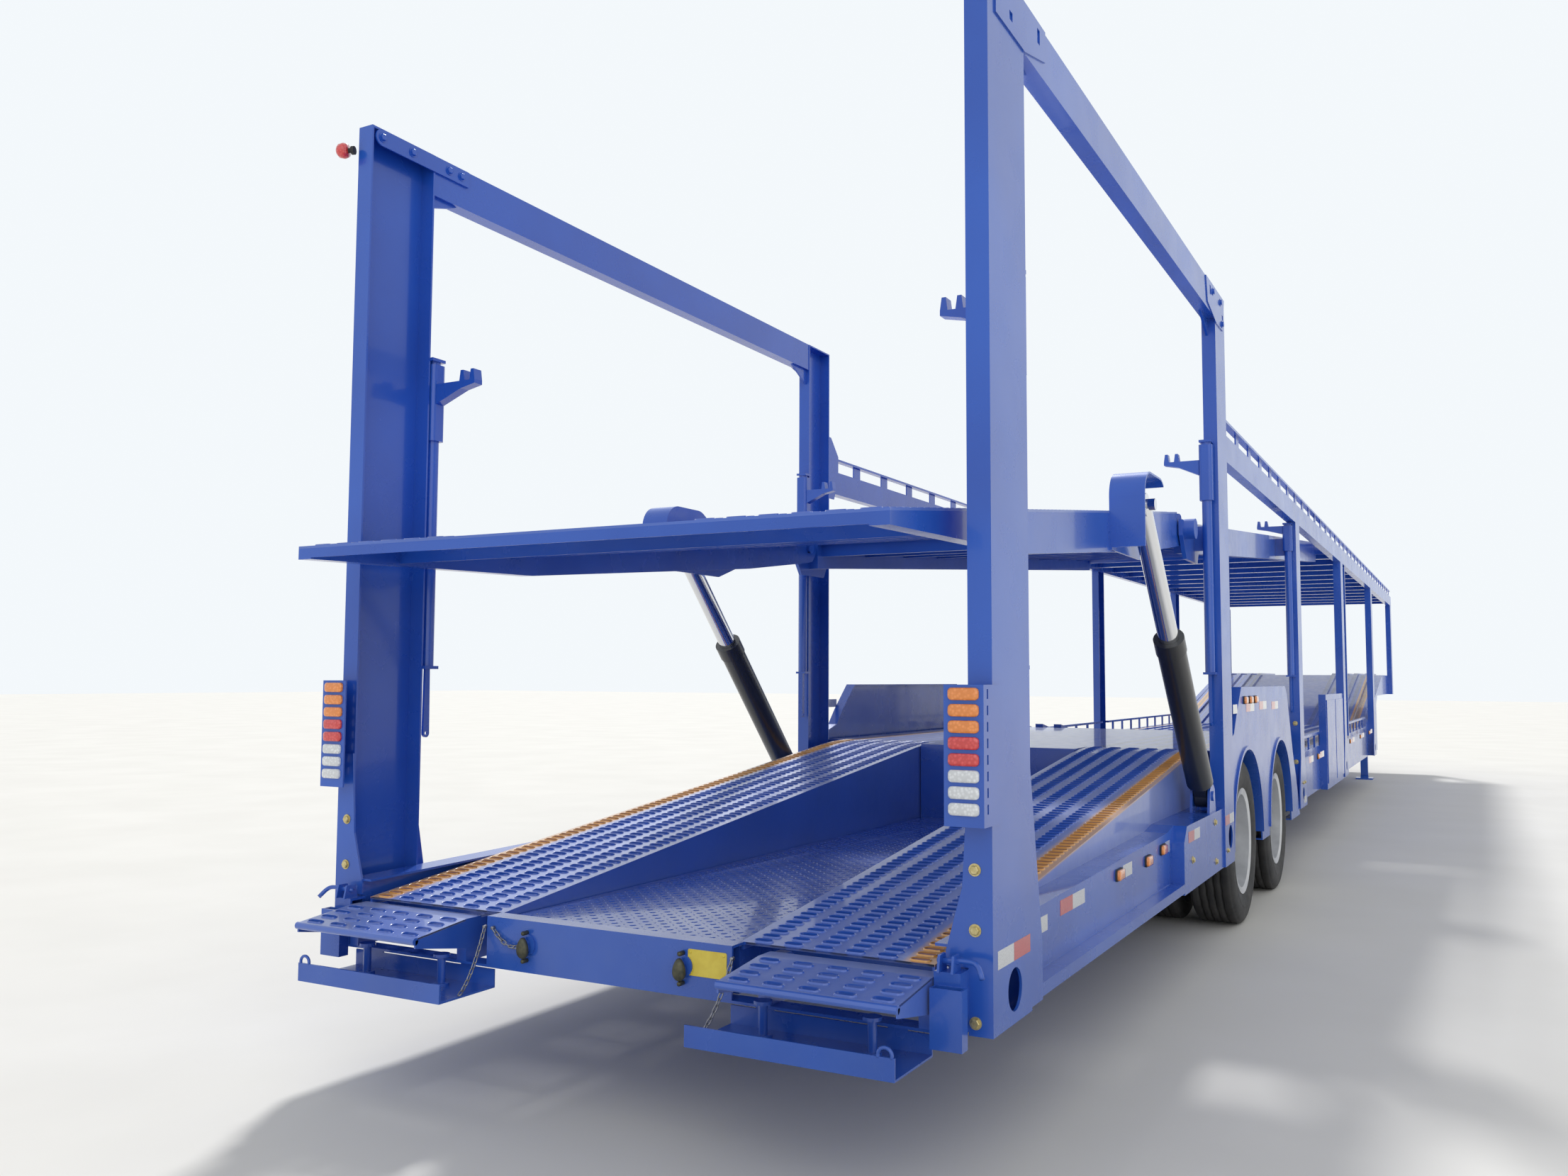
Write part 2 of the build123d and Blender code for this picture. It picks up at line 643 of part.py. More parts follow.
def upper_mid_deck():
    """An inclined deck between the side rails, with the pivot ears of the rear platform."""
    end = mid_top(MID_END)
    beam_line = [
        (MID_START, MID_TOP_START),
        (MID_END, end),
        (MID_END, end - 120),
        (MID_END - 70, end - MID_DEPTH),
        (MID_START, MID_TOP_START - MID_DEPTH + 30),
    ]
    deck = side_slab(strip(mid_top, MID_START, MID_END, 0, SHEET), -MID_IN, MID_IN)
    for side in (1, -1):
        deck += side_slab(beam_line, side * MID_IN, side * MID_OUT)
    pitch = (MID_END - MID_START - 300) / (MID_MEMBERS - 0.5)
    for k in range(MID_MEMBERS):
        s = MID_START + 60 + k * pitch
        deck += side_slab(strip(mid_top, s, s + 80, SHEET, SHEET + MEMBER_DEPTH), -MID_IN, MID_IN)
    ear_line = [(-60, 45), (-60, -35), (30, -150), (320, -150), (440, 50)]
    for side in (1, -1):
        deck += side_slab(moved(ear_line, PIVOT), side * MID_OUT, side * (MID_OUT + 20))
        deck += round_y(PIVOT, PIVOT_R, side * (MID_IN - 20), side * (MID_OUT + 20))
        deck += round_y(PIVOT, BOSS_R, side * (MID_OUT + 20), side * POST_IN)
        for s in (SECOND_POST, THIRD_POST):
            z = mid_top(s)
            deck += bar(s, s + POST_WALL, side * MID_OUT, side * POST_IN, z - 150, z - 20)
    return deck + round_y((MID_END - 90, end - 84), END_TUBE_R, -RAIL_IN, RAIL_IN)


PIECES["upper_mid_deck"] = upper_mid_deck()


PIECES["upper_front_deck"] = bar(UPPER_START, NOSE, -RAIL_IN, RAIL_IN, UPPER_DECK - SHEET, UPPER_DECK)
FRONT_MEMBERS = 14


def upper_front_members():
    """Cross-members under the fixed front deck, evenly spaced from end to end."""
    pitch = (NOSE - UPPER_START - MEMBER_DEPTH) / (FRONT_MEMBERS - 1)
    solids = []
    for k in range(FRONT_MEMBERS):
        s = UPPER_START + k * pitch
        solids += bar(s, s + MEMBER_DEPTH, -RAIL_IN, RAIL_IN, UPPER_DECK - 90, UPPER_DECK - SHEET).solids()
    return Compound(solids)


PIECES["upper_front_members"] = upper_front_members()

# Guard rails, cabinet and ladder
GUARD_TOP = WELL_DECK + 135
GUARD_PITCH = 420
CABINET_START = FOURTH_POST - 1630
CABINET_TOP = 1260
DOORS = 2
DOOR_MARGIN = 50
DOOR_PROUD = 6
LADDER_START = FOURTH_POST + FORWARD_POST_DEPTH
LADDER_WIDTH = 350
RUNG_PITCH = 345
RUNG_R = 11
LADDER_RUNGS = 5
FIRST_RUNG = 1174


def guard_rails():
    """Flat rails on studs along the chassis beams, each side in two lengths."""
    solids = []
    for s0, s1 in ((THIRD_POST + FORWARD_POST_DEPTH, FOURTH_POST), (LADDER_START, WELL_END)):
        rail = bar(s0, s1, POST_IN - 30, POST_IN, GUARD_TOP - 20, GUARD_TOP)
        for k in range(int((s1 - s0) / GUARD_PITCH)):
            s = s0 + (k + 0.5) * GUARD_PITCH
            rail += bar(s, s + 50, POST_IN - 25, POST_IN - 13, FRONT_BEAM_TOP, GUARD_TOP - 20)
        solids += rail.solids()
    return Compound(solids)


PIECES["guard_rails"] = pair(guard_rails())


def control_cabinet():
    """A flat steel locker outside the right-hand beam, with two doors that stand proud of its face."""
    locker = bar(CABINET_START, FOURTH_POST, -PANEL_OUT, -POST_IN, CHASSIS_BOTTOM, CABINET_TOP)
    width = (FOURTH_POST - CABINET_START - 4 * DOOR_MARGIN) / DOORS
    for k in range(DOORS):
        s = CABINET_START + DOOR_MARGIN + k * (width + DOOR_MARGIN)
        low, high = CHASSIS_BOTTOM + DOOR_MARGIN, CABINET_TOP - DOOR_MARGIN
        locker += bar(s, s + width, -PANEL_OUT - DOOR_PROUD, -PANEL_OUT, low, high)
    return locker


PIECES["control_cabinet"] = control_cabinet()


def ladder():
    """One stile and the rungs between it and the fourth right-hand post."""
    stile = LADDER_START + LADDER_WIDTH - 40
    frame = bar(stile, stile + 40, -PANEL_OUT, -PANEL_OUT + 40, FRONT_BEAM_TOP + 5, RAIL_BOTTOM)
    for k in range(LADDER_RUNGS):
        frame += round_x(LADDER_START, stile, -PANEL_OUT + 20, FIRST_RUNG + k * RUNG_PITCH, RUNG_R)
    return frame


PIECES["ladder"] = ladder()

# Tail lamps, steps and channels
LAMP_PANEL = (985, 1365)
LAMP_FACE = REAR_POST - 86
LAMP_COUNT = 8
LAMP_PITCH = 44
LAMP_LENGTH = 88
LAMP_HEIGHT = 34
LAMP_CORNER = 11
LAMP_HEIGHTS = [LAMP_PANEL[1] - 25 - k * LAMP_PITCH for k in range(LAMP_COUNT)]


def tail_lamp_panel():
    """A folded plate: the lamps sit on its face, and its side flange is slotted beside each lamp."""
    low, high = LAMP_PANEL
    out = HALF_WIDTH + 6
    panel = bar(LAMP_FACE, LAMP_FACE + 6, POST_IN - 38, out, low, high)
    panel += bar(LAMP_FACE, REAR_POST + 60, HALF_WIDTH, out, low, high)
    for z in LAMP_HEIGHTS:
        panel -= bar(LAMP_FACE + 26, LAMP_FACE + 36, HALF_WIDTH, out, z - 13, z + 13)
    return panel


PIECES["tail_lamp_panels"] = pair(tail_lamp_panel())


def tail_lamps():
    lenses = []
    for z in LAMP_HEIGHTS:
        plane = Plane(origin=(X0 + LAMP_FACE, POST_IN + 19, z), x_dir=(0, 1, 0), z_dir=(-1, 0, 0))
        lens = extrude(plane * RectangleRounded(LAMP_LENGTH, LAMP_HEIGHT, LAMP_CORNER), 9)
        lenses.append(fillet(lens.faces().sort_by(Axis.X)[0].edges(), 3).solid())
    return pair(Compound(lenses))


PIECES["tail_lamps"] = tail_lamps()

STEP_DEPTH = 230
STEP_FRONT = REAR_POST - 70
STEP_BACK = STEP_FRONT - STEP_DEPTH
STEP_TOP = REAR_BEAM_TOP - 18
STEP_IN = RAMP_IN + 100
STEP_OUT = RAMP_OUT + 20
STEP_PLATE = 6
STEP_ROLL = 12
STOWED = 1500
STOWED_RAIL = 40
STOWED_HEIGHT = 50
STOWED_LOW = CHASSIS_BOTTOM + SHEET
STOWED_RUNGS = 5


def loading_step():
    """A loading ladder slid in under the ramp: its end is the step, and its rails lie on the cross-beam."""
    drop = 26
    plate = STEP_PLATE
    neck = REAR_POST + 60
    tread = [
        (STEP_BACK, STEP_TOP - plate - drop),
        (STEP_FRONT, STEP_TOP - plate),
        (REAR_POST, STEP_TOP - plate),
        (REAR_POST, STEP_TOP),
        (STEP_FRONT, STEP_TOP),
        (STEP_BACK, STEP_TOP - drop),
    ]
    rail = [
        (STEP_FRONT, STOWED_LOW),
        (STOWED, STOWED_LOW),
        (STOWED, STOWED_LOW + STOWED_HEIGHT),
        (neck + 80, STOWED_LOW + STOWED_HEIGHT),
        (neck, STEP_TOP - plate),
        (STEP_FRONT, STEP_TOP - plate),
    ]
    cheek = [
        (STEP_BACK, STEP_TOP - 57),
        (STEP_FRONT, STEP_TOP - 97),
        (STEP_FRONT, STEP_TOP - plate + 1),
        (STEP_BACK, STEP_TOP - drop - plate + 1),
    ]
    step = side_slab(tread, STEP_IN, STEP_OUT)
    step += round_y((STEP_BACK, STEP_TOP - drop - STEP_ROLL + 3), STEP_ROLL, STEP_IN, STEP_OUT)
    for y in (STEP_IN, STEP_OUT - plate):
        step += side_slab(cheek, y, y + plate)
    for y in (STEP_IN, STEP_OUT - STOWED_RAIL):
        step += side_slab(rail, y, y + STOWED_RAIL)
    for k in range(STOWED_RUNGS):
        s = neck + (k + 0.6) * (STOWED - neck) / STOWED_RUNGS
        step += round_y((s, STOWED_LOW + STOWED_HEIGHT / 2), 15, STEP_IN, STEP_OUT)
    return step


PIECES["loading_steps"] = pair(loading_step())

CHANNEL_BOTTOM = CHASSIS_BOTTOM - 70
CHANNEL_TOP = CHASSIS_BOTTOM - 10
SPOOL_STATION = STEP_FRONT - 60
SPOOL_TOP = CHASSIS_BOTTOM + 40
SPOOL_R = 27
SPOOL_RIM = 10
SPOOL_Y = (STEP_IN + 50, STEP_OUT - 150)


def step_channel():
    back, front, wall = STEP_BACK, REAR_POST - 44, STEP_PLATE
    outline = [
        (back, CHANNEL_BOTTOM),
        (front, CHANNEL_BOTTOM),
        (front, CHANNEL_TOP),
        (front - wall, CHANNEL_TOP),
        (front - wall, CHANNEL_BOTTOM + wall),
        (back + wall, CHANNEL_BOTTOM + wall),
        (back + wall, CHANNEL_TOP),
        (back, CHANNEL_TOP),
    ]
    channel = side_slab(outline, RAMP_IN - 5, RAMP_OUT + 10)
    for y in (STEP_IN - 20, STEP_OUT - 140):
        channel += bar(front - wall, front, y, y + 60, CHANNEL_TOP - 20, CHASSIS_BOTTOM)
    for y in SPOOL_Y:
        low, high = CHANNEL_BOTTOM + wall, SPOOL_TOP
        channel += round_z(SPOOL_STATION, y, SPOOL_R / 2, low, high)
        for z in (low, high - SPOOL_RIM):
            channel += round_z(SPOOL_STATION, y, SPOOL_R, z, z + SPOOL_RIM)
    return channel


PIECES["step_channels"] = pair(step_channel())

# Axles and springs
AXLE_R = 65
AXLE_REACH = TWIN_CENTRE - 335
CHAMBER_R = 75


def axle(s):
    """A round axle with its spindles and two brake chambers."""
    at = (s, TYRE_R)
    beam = round_y(at, AXLE_R, -AXLE_REACH, AXLE_REACH)
    for side in (1, -1):
        beam += round_y(at, SPINDLE_R, side * AXLE_REACH, side * (TWIN_CENTRE + 65))
        beam += round_x(s - 205, s - 95, side * 330, TYRE_R + 20, CHAMBER_R)
        beam += bar(s - 110, s - 40, side * 315, side * 345, TYRE_R - 10, TYRE_R + 40)
    return beam


for place, station in AXLES.items():
    PIECES["axle_" + place] = axle(station)

SPRING_Y = (INNER_BEAM_IN + INNER_BEAM_OUT) / 2
SPRING_HALF = 38
LEAF = 16
LEAF_RISE = 46
SEAT_TOP = TYRE_R + 80
SEAT_HALF = 80
# Leaves: half length, number of leaf thicknesses above the seat
LEAVES = [(280, 0), (420, 1), (560, 2)]
LEAF_ARC_R = (LEAVES[-1][0] ** 2 + LEAF_RISE**2) / (2 * LEAF_RISE)


def leaf(s, reach, level, y0, y1):
    """One leaf bent to the springs' common arc, lying on the leaf below along its whole length."""
    low = SEAT_TOP + level * LEAF
    rise = LEAF_ARC_R - (LEAF_ARC_R**2 - reach**2) ** 0.5
    under = ThreePointArc((s - reach, low + rise), (s, low), (s + reach, low + rise))
    over = ThreePointArc((s + reach, low + rise + LEAF), (s, low + LEAF), (s - reach, low + rise + LEAF))
    outline = under + Line(under @ 1, over @ 0) + over + Line(over @ 1, under @ 0)
    plane = Plane(origin=(X0, y1, 0), x_dir=(1, 0, 0), z_dir=(0, -1, 0))
    return extrude(plane * make_face(outline), y1 - y0)


def suspension():
    """Leaf springs under the inner beams, held by hangers before, between and after the axles."""
    parts = []
    rear, front = AXLES["rear"], AXLES["front"]
    y0, y1 = SPRING_Y - SPRING_HALF, SPRING_Y + SPRING_HALF
    group = None
    for s in AXLES.values():
        seat = bar(s - SEAT_HALF, s + SEAT_HALF, y0, y1, TYRE_R + 30, SEAT_TOP + 4)
        seat -= round_y((s, TYRE_R), AXLE_R + 0.3, y0, y1)
        for reach, level in LEAVES:
            seat += leaf(s, reach, level, y0, y1)
        parts.append(seat)
    hanger = [(-90, AXLE_FRAME_BOTTOM), (90, AXLE_FRAME_BOTTOM), (60, SEAT_TOP + 15), (-60, SEAT_TOP + 15)]
    for s in (rear - 520, (rear + front) / 2, front + 550):
        parts.append(side_slab(moved(hanger, (s, 0)), y0, y1))
    for part in parts:
        group = part if group is None else group + part
    return pair(group)


PIECES["suspension"] = suspension()


# Twin wheels
def turned(profile, s):
    """A closed (radius, y) profile turned about an axle's line."""
    plane = Plane(origin=(X0 + s, 0, TYRE_R), x_dir=(1, 0, 0), z_dir=(0, 0, 1))
    face = plane * make_face(Polyline(*profile, close=True))
    return revolve(face, Axis((X0 + s, 0, TYRE_R), (0, 1, 0)), 360)


RIM_WALL = 8
FLANGE_R = RIM_R + 28
RIM_HALF = 114.5
DISC_R = RIM_R - 30
HUB_R = 160
HAND_HOLE_R = 27
HAND_HOLES = 10
BORE_R = SPINDLE_R + HUB_GAP
SPINDLE_END = TWIN_CENTRE + 70


def wheel(s):
    """Two rims back to back on one hub, with the brake drum inside and the hub cap outside."""
    c, inner = TWIN_CENTRE, RIM_R - RIM_WALL
    near, far = TWIN_OFFSET - RIM_HALF, TWIN_OFFSET + RIM_HALF
    drum = [
        (BORE_R, TYRE_IN - 30),
        (90, TYRE_IN - 30),
        (95, TYRE_IN + 50),
        (205, TYRE_IN + 50),
        (208, c - 35),
        (HUB_R, c - 20),
    ]
    # Each point of one rim: radius, distance from the plane between the twin wheels
    rim = [
        (inner, far - 7),
        (FLANGE_R, far),
        (FLANGE_R, far - RIM_WALL),
        (RIM_R, far - 14),
        (RIM_R, near + 14),
        (FLANGE_R, near + RIM_WALL),
        (FLANGE_R, near),
        (RIM_R + 10, near - 3),
    ]
    disc = [(HUB_R, 12), (DISC_R, 28), (inner, 40)]
    inward = [(r, c - y) for r, y in disc + rim]
    outward = [(r, c + y) for r, y in (disc + rim)[::-1]]
    cap = [
        (150, c + 14),
        (125, c + 20),
        (105, c + 120),
        (60, c + 135),
        (0.5, c + 135),
        (0.5, SPINDLE_END),
        (BORE_R, SPINDLE_END),
    ]
    solid = turned(drum + inward + outward + cap, s)
    for k in range(HAND_HOLES):
        angle = radians(360 / HAND_HOLES * k)
        reach = (HUB_R + DISC_R) / 2 + 12
        at = (s + reach * cos(angle), TYRE_R + reach * sin(angle))
        solid -= round_y(at, HAND_HOLE_R, c - 50, c + 50)
    return solid


def tyres(s):
    """Two tyres side by side on their rims."""
    rings = []
    half = TYRE_WIDTH / 2
    bead = RIM_HALF - 16.5
    # Half section: radius, distance from the tyre's middle
    section = [
        (RIM_R + 0.5, bead),
        (RIM_R + 30, bead + 6),
        (RIM_R + 60, half - 8),
        (TYRE_R - 90, half),
        (TYRE_R - 50, half - 4),
        (TYRE_R - 17, half - 16),
        (TYRE_R, half - 32),
    ]
    for y in (TWIN_CENTRE - TWIN_OFFSET, TWIN_CENTRE + TWIN_OFFSET):
        profile = [(r, y + w) for r, w in section] + [(r, y - w) for r, w in section[::-1]]
        rings += turned(profile, s).solids()
    return Compound(rings)


for place, station in AXLES.items():
    both_hands("wheel_" + place, wheel(station))
    both_hands("tyres_" + place, tyres(station))

# Rear platform
PLATFORM_IN = DECK_SIDE - PLATFORM_BEAM_WIDTH
PLATFORM_FRONT = PIVOT[0] - 60
PLATFORM_MEMBERS = [60, 660, 1260, 1860, 2460, 3040]
HOOD_PLATE = 10
HOOD_OUTLINE = [(-200, -205), (-200, 125), (120, 125), (560, -120), (300, -205)]
HOOD_ROUND = 110
HOOD_FRONT = 160
HOOD_OUT = HALF_WIDTH - 4


def platform_top(s):
    return PIVOT[1] + PLATFORM_RISE + (s - PIVOT[0]) * PLATFORM_SLOPE


def hood_face(inset=0):
    """The hood's side outline about the rod's pin, with its two upper corners rounded."""
    face = make_face(Polyline(*HOOD_OUTLINE, close=True))
    face = fillet(face.vertices().sort_by(Axis.Y)[-2:], HOOD_ROUND)
    return offset(face, -inset) if inset else face


def hood(side):
    """A plate on the platform's side with a bent cover over the rod's eye, on one side of the trailer."""
    plane = Plane(origin=(X0 + ROD_PIN[0], 0, ROD_PIN[1]), x_dir=(1, 0, 0), z_dir=(0, -1, 0))
    cover = extrude(plane * (hood_face() - hood_face(SHEET)), -side * HOOD_OUT)
    s, z = ROD_PIN
    cover -= bar(s + HOOD_FRONT, s + 600, 0, side * HALF_WIDTH, z - 300, z + 300)
    cover -= bar(s - 500, s + 500, 0, side * HALF_WIDTH, z - 300, z - 195)
    whole = extrude(plane * hood_face(), -side * (DECK_SIDE + HOOD_PLATE))
    return cover + whole - bar(s - 500, s + 600, 0, side * DECK_SIDE, z - 300, z + 300)


def platform_frame():
    """Two side beams that end in the pivot bosses, cross-members, and the hoods over the rods."""
    nose = moved([(-25, -88), (40, -76), (82, -25), (82, 25), (40, 76)], PIVOT)
    line = [
        (-TAIL, platform_top(-TAIL) - SHEET),
        (-TAIL, platform_top(-TAIL) - 45),
        (800, platform_top(800) - 150),
        (2600, platform_top(2600) - 185),
        *nose,
        (PIVOT[0], platform_top(PIVOT[0]) - SHEET),
    ]
    frame = None
    for side in (1, -1):
        beam = side_slab(line, side * PLATFORM_IN, side * DECK_SIDE)
        beam -= round_y(PIVOT, PIVOT_R + HUB_GAP, side * PLATFORM_IN, side * DECK_SIDE)
        beam += hood(side)
        frame = beam if frame is None else frame + beam
    for s in PLATFORM_MEMBERS:
        member = strip(platform_top, s, s + 80, SHEET, SHEET + 66)
        frame += side_slab(member, -PLATFORM_IN, PLATFORM_IN)
    tail_bar = strip(platform_top, -TAIL, -TAIL + 30, SHEET, 40)
    return frame + side_slab(tail_bar, -PLATFORM_IN, PLATFORM_IN)


PIECES["platform_frame"] = platform_frame()


def platform_deck():
    return side_slab(strip(platform_top, -TAIL, PLATFORM_FRONT, 0, SHEET), -DECK_SIDE, DECK_SIDE)


PIECES["platform_deck"] = platform_deck()

# Cylinders between the chassis and the platform
SPAN = hypot(ROD_PIN[0] - BASE_PIN[0], ROD_PIN[1] - BASE_PIN[1])
LEAN = degrees(atan2(ROD_PIN[1] - BASE_PIN[1], ROD_PIN[0] - BASE_PIN[0]))
ACROSS = Rot(90, 0, 0)
ALONG = Rot(0, 90, 0)


def on_cylinder_line(shape):
    """Turns a shape made along +X from the base pin onto the cylinder's line."""
    return Pos(X0 + BASE_PIN[0], CYLINDER_Y, BASE_PIN[1]) * Rot(0, -LEAN, 0) * shape


def run(x0, x1, radius):
    """A round bar along +X."""
    return Pos((x0 + x1) / 2, 0, 0) * ALONG * Cylinder(radius, x1 - x0)


def cylinder_barrel():
    body = run(BARREL_START, BARREL_LENGTH, BARREL_R) + run(BARREL_LENGTH - 80, BARREL_LENGTH, GLAND_R)
    body += Pos(BARREL_START * 0.6, 0, 0) * Box(BARREL_START * 1.2, EYE_WIDTH, EYE_R * 1.55)
    body += ACROSS * Cylinder(EYE_R, EYE_WIDTH)
    body -= run(BORE_START, BARREL_LENGTH + 10, ROD_R + HUB_GAP)
    return on_cylinder_line(body - ACROSS * Cylinder(CYLINDER_PIN_R + HUB_GAP, EYE_WIDTH * 3))


def cylinder_rod():
    """The rod with its eye and the cross pin that reaches the platform's hood plate."""
    inner = DECK_SIDE + HOOD_PLATE + HUB_GAP
    outer = HOOD_OUT - HUB_GAP
    middle = (inner + outer) / 2 - CYLINDER_Y
    pin = Pos(SPAN, middle, 0) * ACROSS * Cylinder(CYLINDER_PIN_R, outer - inner)
    eye = Pos(SPAN, 0, 0) * ACROSS * Cylinder(EYE_R - 8, EYE_WIDTH)
    return on_cylinder_line(run(ROD_START, SPAN, ROD_R) + eye + pin)


both_hands("cylinder_barrel", cylinder_barrel())
both_hands("cylinder_rod", cylinder_rod())

CHEEK = 12
CHEEK_GAP = 6


def cylinder_foot():
    """Two cheek plates and a pin on the base box, holding the barrel's eye."""
    low = BASE_BOX_TOP - BASE_PIN[1]
    cheek = moved([(-85, low), (85, low), (65, 30), (30, 56), (-30, 56), (-65, 30)], BASE_PIN)
    inner = CYLINDER_Y - EYE_WIDTH / 2 - CHEEK_GAP
    outer = CYLINDER_Y + EYE_WIDTH / 2 + CHEEK_GAP
    foot = side_slab(cheek, inner - CHEEK, inner) + side_slab(cheek, outer, outer + CHEEK)
    return foot + round_y(BASE_PIN, CYLINDER_PIN_R, inner - CHEEK, outer + CHEEK + 8)


PIECES["cylinder_feet"] = pair(cylinder_foot())


# Lock sleeves with forked arms
def lock_sleeve(s, low, high, arm_top, arm_root, tip):
    """A square sleeve on the guide tube, with an arm that ends in a two-prong fork."""
    half = SLEEVE_HALF
    block = bar(s - half, s + half, GUIDE_Y - half, GUIDE_Y + half, low, high)
    block = fillet(block.edges().filter_by(Axis.Z), 18)
    block -= round_z(s, GUIDE_Y, GUIDE_R + 1, low, high)
    root = GUIDE_Y - half
    thin = arm_top - 16
    arm = [(root, arm_top - arm_root), (root, arm_top), (tip, arm_top), (tip, thin), (tip + 70, thin - 14)]
    block += cross_slab(arm, s - 22, s + 22)
    for y in (tip, tip + 52):
        prong = moved([(0, 0), (26, 0), (20, 42), (6, 42)], (y, arm_top))
        block += cross_slab(prong, s - 22, s + 22)
    return block


def lock_sleeves():
    # Columns: station, bottom, top, top of the arm, depth of the arm at its root, tip
    table = [
        (REAR_GUIDE, 2310, 2615, 2535, 80, POST_IN - 215),
        (SECOND_GUIDE, 2320, 2615, 2535, 80, POST_IN - 195),
        (THIRD_GUIDE, 2350, 2540, 2540, 60, POST_IN - 195),
    ]
    return pair(Compound([solid for row in table for solid in lock_sleeve(*row).solids()]))


PIECES["lock_sleeves"] = lock_sleeves()

os.makedirs("parts", exist_ok=True)
for name, piece in PIECES.items():
    export_step(piece, "parts/" + name + ".step")
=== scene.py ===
import json

import bpy
import numpy as np
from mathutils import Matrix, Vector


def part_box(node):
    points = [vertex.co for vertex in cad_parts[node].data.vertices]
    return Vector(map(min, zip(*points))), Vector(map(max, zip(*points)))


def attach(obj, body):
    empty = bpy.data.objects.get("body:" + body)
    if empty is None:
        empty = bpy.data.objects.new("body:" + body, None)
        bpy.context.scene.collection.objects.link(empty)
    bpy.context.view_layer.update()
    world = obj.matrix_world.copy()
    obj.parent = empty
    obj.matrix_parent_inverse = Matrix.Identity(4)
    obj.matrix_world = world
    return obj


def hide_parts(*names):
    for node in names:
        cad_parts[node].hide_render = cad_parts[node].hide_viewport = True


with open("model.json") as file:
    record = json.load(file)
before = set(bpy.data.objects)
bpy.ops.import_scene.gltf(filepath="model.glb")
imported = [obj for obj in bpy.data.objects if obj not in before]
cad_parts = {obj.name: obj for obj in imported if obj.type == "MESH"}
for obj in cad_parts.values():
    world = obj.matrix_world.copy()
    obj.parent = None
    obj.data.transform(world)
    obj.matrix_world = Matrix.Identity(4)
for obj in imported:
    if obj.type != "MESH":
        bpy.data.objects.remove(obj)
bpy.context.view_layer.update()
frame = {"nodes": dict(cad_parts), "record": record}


# View and light
# The trailer stands on pale ground under a soft sky. It is seen close up from behind its right rear corner,
# with a wide lens. REAR is the rear face of the rear posts, from which all stations are measured forward.
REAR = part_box("rear_cross_beam")[1][0]
CAMERA_AT = (-12.5526, -2.4112, 1.3788)
CAMERA_YAW = 0.5019
CAMERA_PITCH = 0.0718
CAMERA_ROLL = 0.0046
CAMERA_LENS = 28.93
GROUND_COLOUR = (0.80, 0.78, 0.73)
SKY_COLOUR = (0.90, 0.94, 0.97)
AMBIENT_COLOUR = (0.93, 0.96, 1.0)
AMBIENT_STRENGTH = 0.62
SUN_STRENGTH = 2.3
SUN_ANGLE = 0.12
FILL_STRENGTH = 0.6
FILL_ANGLE = 1.2


def link(obj):
    """Puts an object in the scene."""
    bpy.context.scene.collection.objects.link(obj)
    return obj


def placed(obj, x, y, z, at):
    """Puts an object in the scene with its three axes turned and its origin at a place."""
    matrix = np.eye(4)
    matrix[:3, 0], matrix[:3, 1], matrix[:3, 2], matrix[:3, 3] = x, y, z, at
    link(obj).matrix_world = matrix.T


forward = np.array([np.cos(CAMERA_YAW), np.sin(CAMERA_YAW), 0]) * np.cos(CAMERA_PITCH)
forward[2] = np.sin(CAMERA_PITCH)
level = np.array([np.sin(CAMERA_YAW), -np.cos(CAMERA_YAW), 0])
above = np.cross(level, forward)
right = level * np.cos(CAMERA_ROLL) + above * np.sin(CAMERA_ROLL)
up = above * np.cos(CAMERA_ROLL) - level * np.sin(CAMERA_ROLL)
camera = bpy.data.objects.new("camera", bpy.data.cameras.new("camera"))
placed(camera, right, up, -forward, CAMERA_AT)
camera.data.lens = CAMERA_LENS
camera.data.sensor_width = 36
camera.data.clip_start, camera.data.clip_end = 0.05, 300
bpy.context.scene.camera = camera
bpy.context.scene.view_settings.view_transform = "Standard"


def sun(name, strength, angle, toward):
    """A lamp that shines along a direction from far off, the softer the wider its angle."""
    data = bpy.data.lights.new(name, "SUN")
    data.energy = strength
    data.angle = angle
    z = -np.array(toward, float) / np.linalg.norm(toward)
    x = np.cross((0, 0, 1), z)
    x /= np.linalg.norm(x)
    placed(bpy.data.objects.new(name, data), x, np.cross(z, x), z, (0, 0, 10))


sun("sun_ahead", SUN_STRENGTH, SUN_ANGLE, (-0.91, -0.50, -1.0))
sun("fill_from_behind", FILL_STRENGTH, FILL_ANGLE, (0.75, 0.45, -0.30))


def worked(tree, operation, *values):
    """One step of arithmetic between numbers and sockets."""
    node = tree.nodes.new("ShaderNodeMath")
    node.operation = operation
    for socket, value in zip(node.inputs, values):
        if isinstance(value, (int, float)):
            socket.default_value = value
        else:
            tree.links.new(value, socket)
    return node.outputs[0]


world = bpy.data.worlds.new("sky")
bpy.context.scene.world = world
world.use_nodes = True
tree = world.node_tree
tree.nodes.clear()
shown = tree.nodes.new("ShaderNodeBackground")
shown.inputs["Color"].default_value = (*SKY_COLOUR, 1)
shown.inputs["Strength"].default_value = 1
ambient = tree.nodes.new("ShaderNodeBackground")
ambient.inputs["Color"].default_value = (*AMBIENT_COLOUR, 1)
ambient.inputs["Strength"].default_value = AMBIENT_STRENGTH
mixed = tree.nodes.new("ShaderNodeMixShader")
sky_out = tree.nodes.new("ShaderNodeOutputWorld")
ray = tree.nodes.new("ShaderNodeLightPath").outputs
mirrored = worked(tree, "MAXIMUM", ray["Is Glossy Ray"], ray["Is Transmission Ray"])
tree.links.new(worked(tree, "MAXIMUM", ray["Is Camera Ray"], mirrored), mixed.inputs["Fac"])
tree.links.new(ambient.outputs[0], mixed.inputs[1])
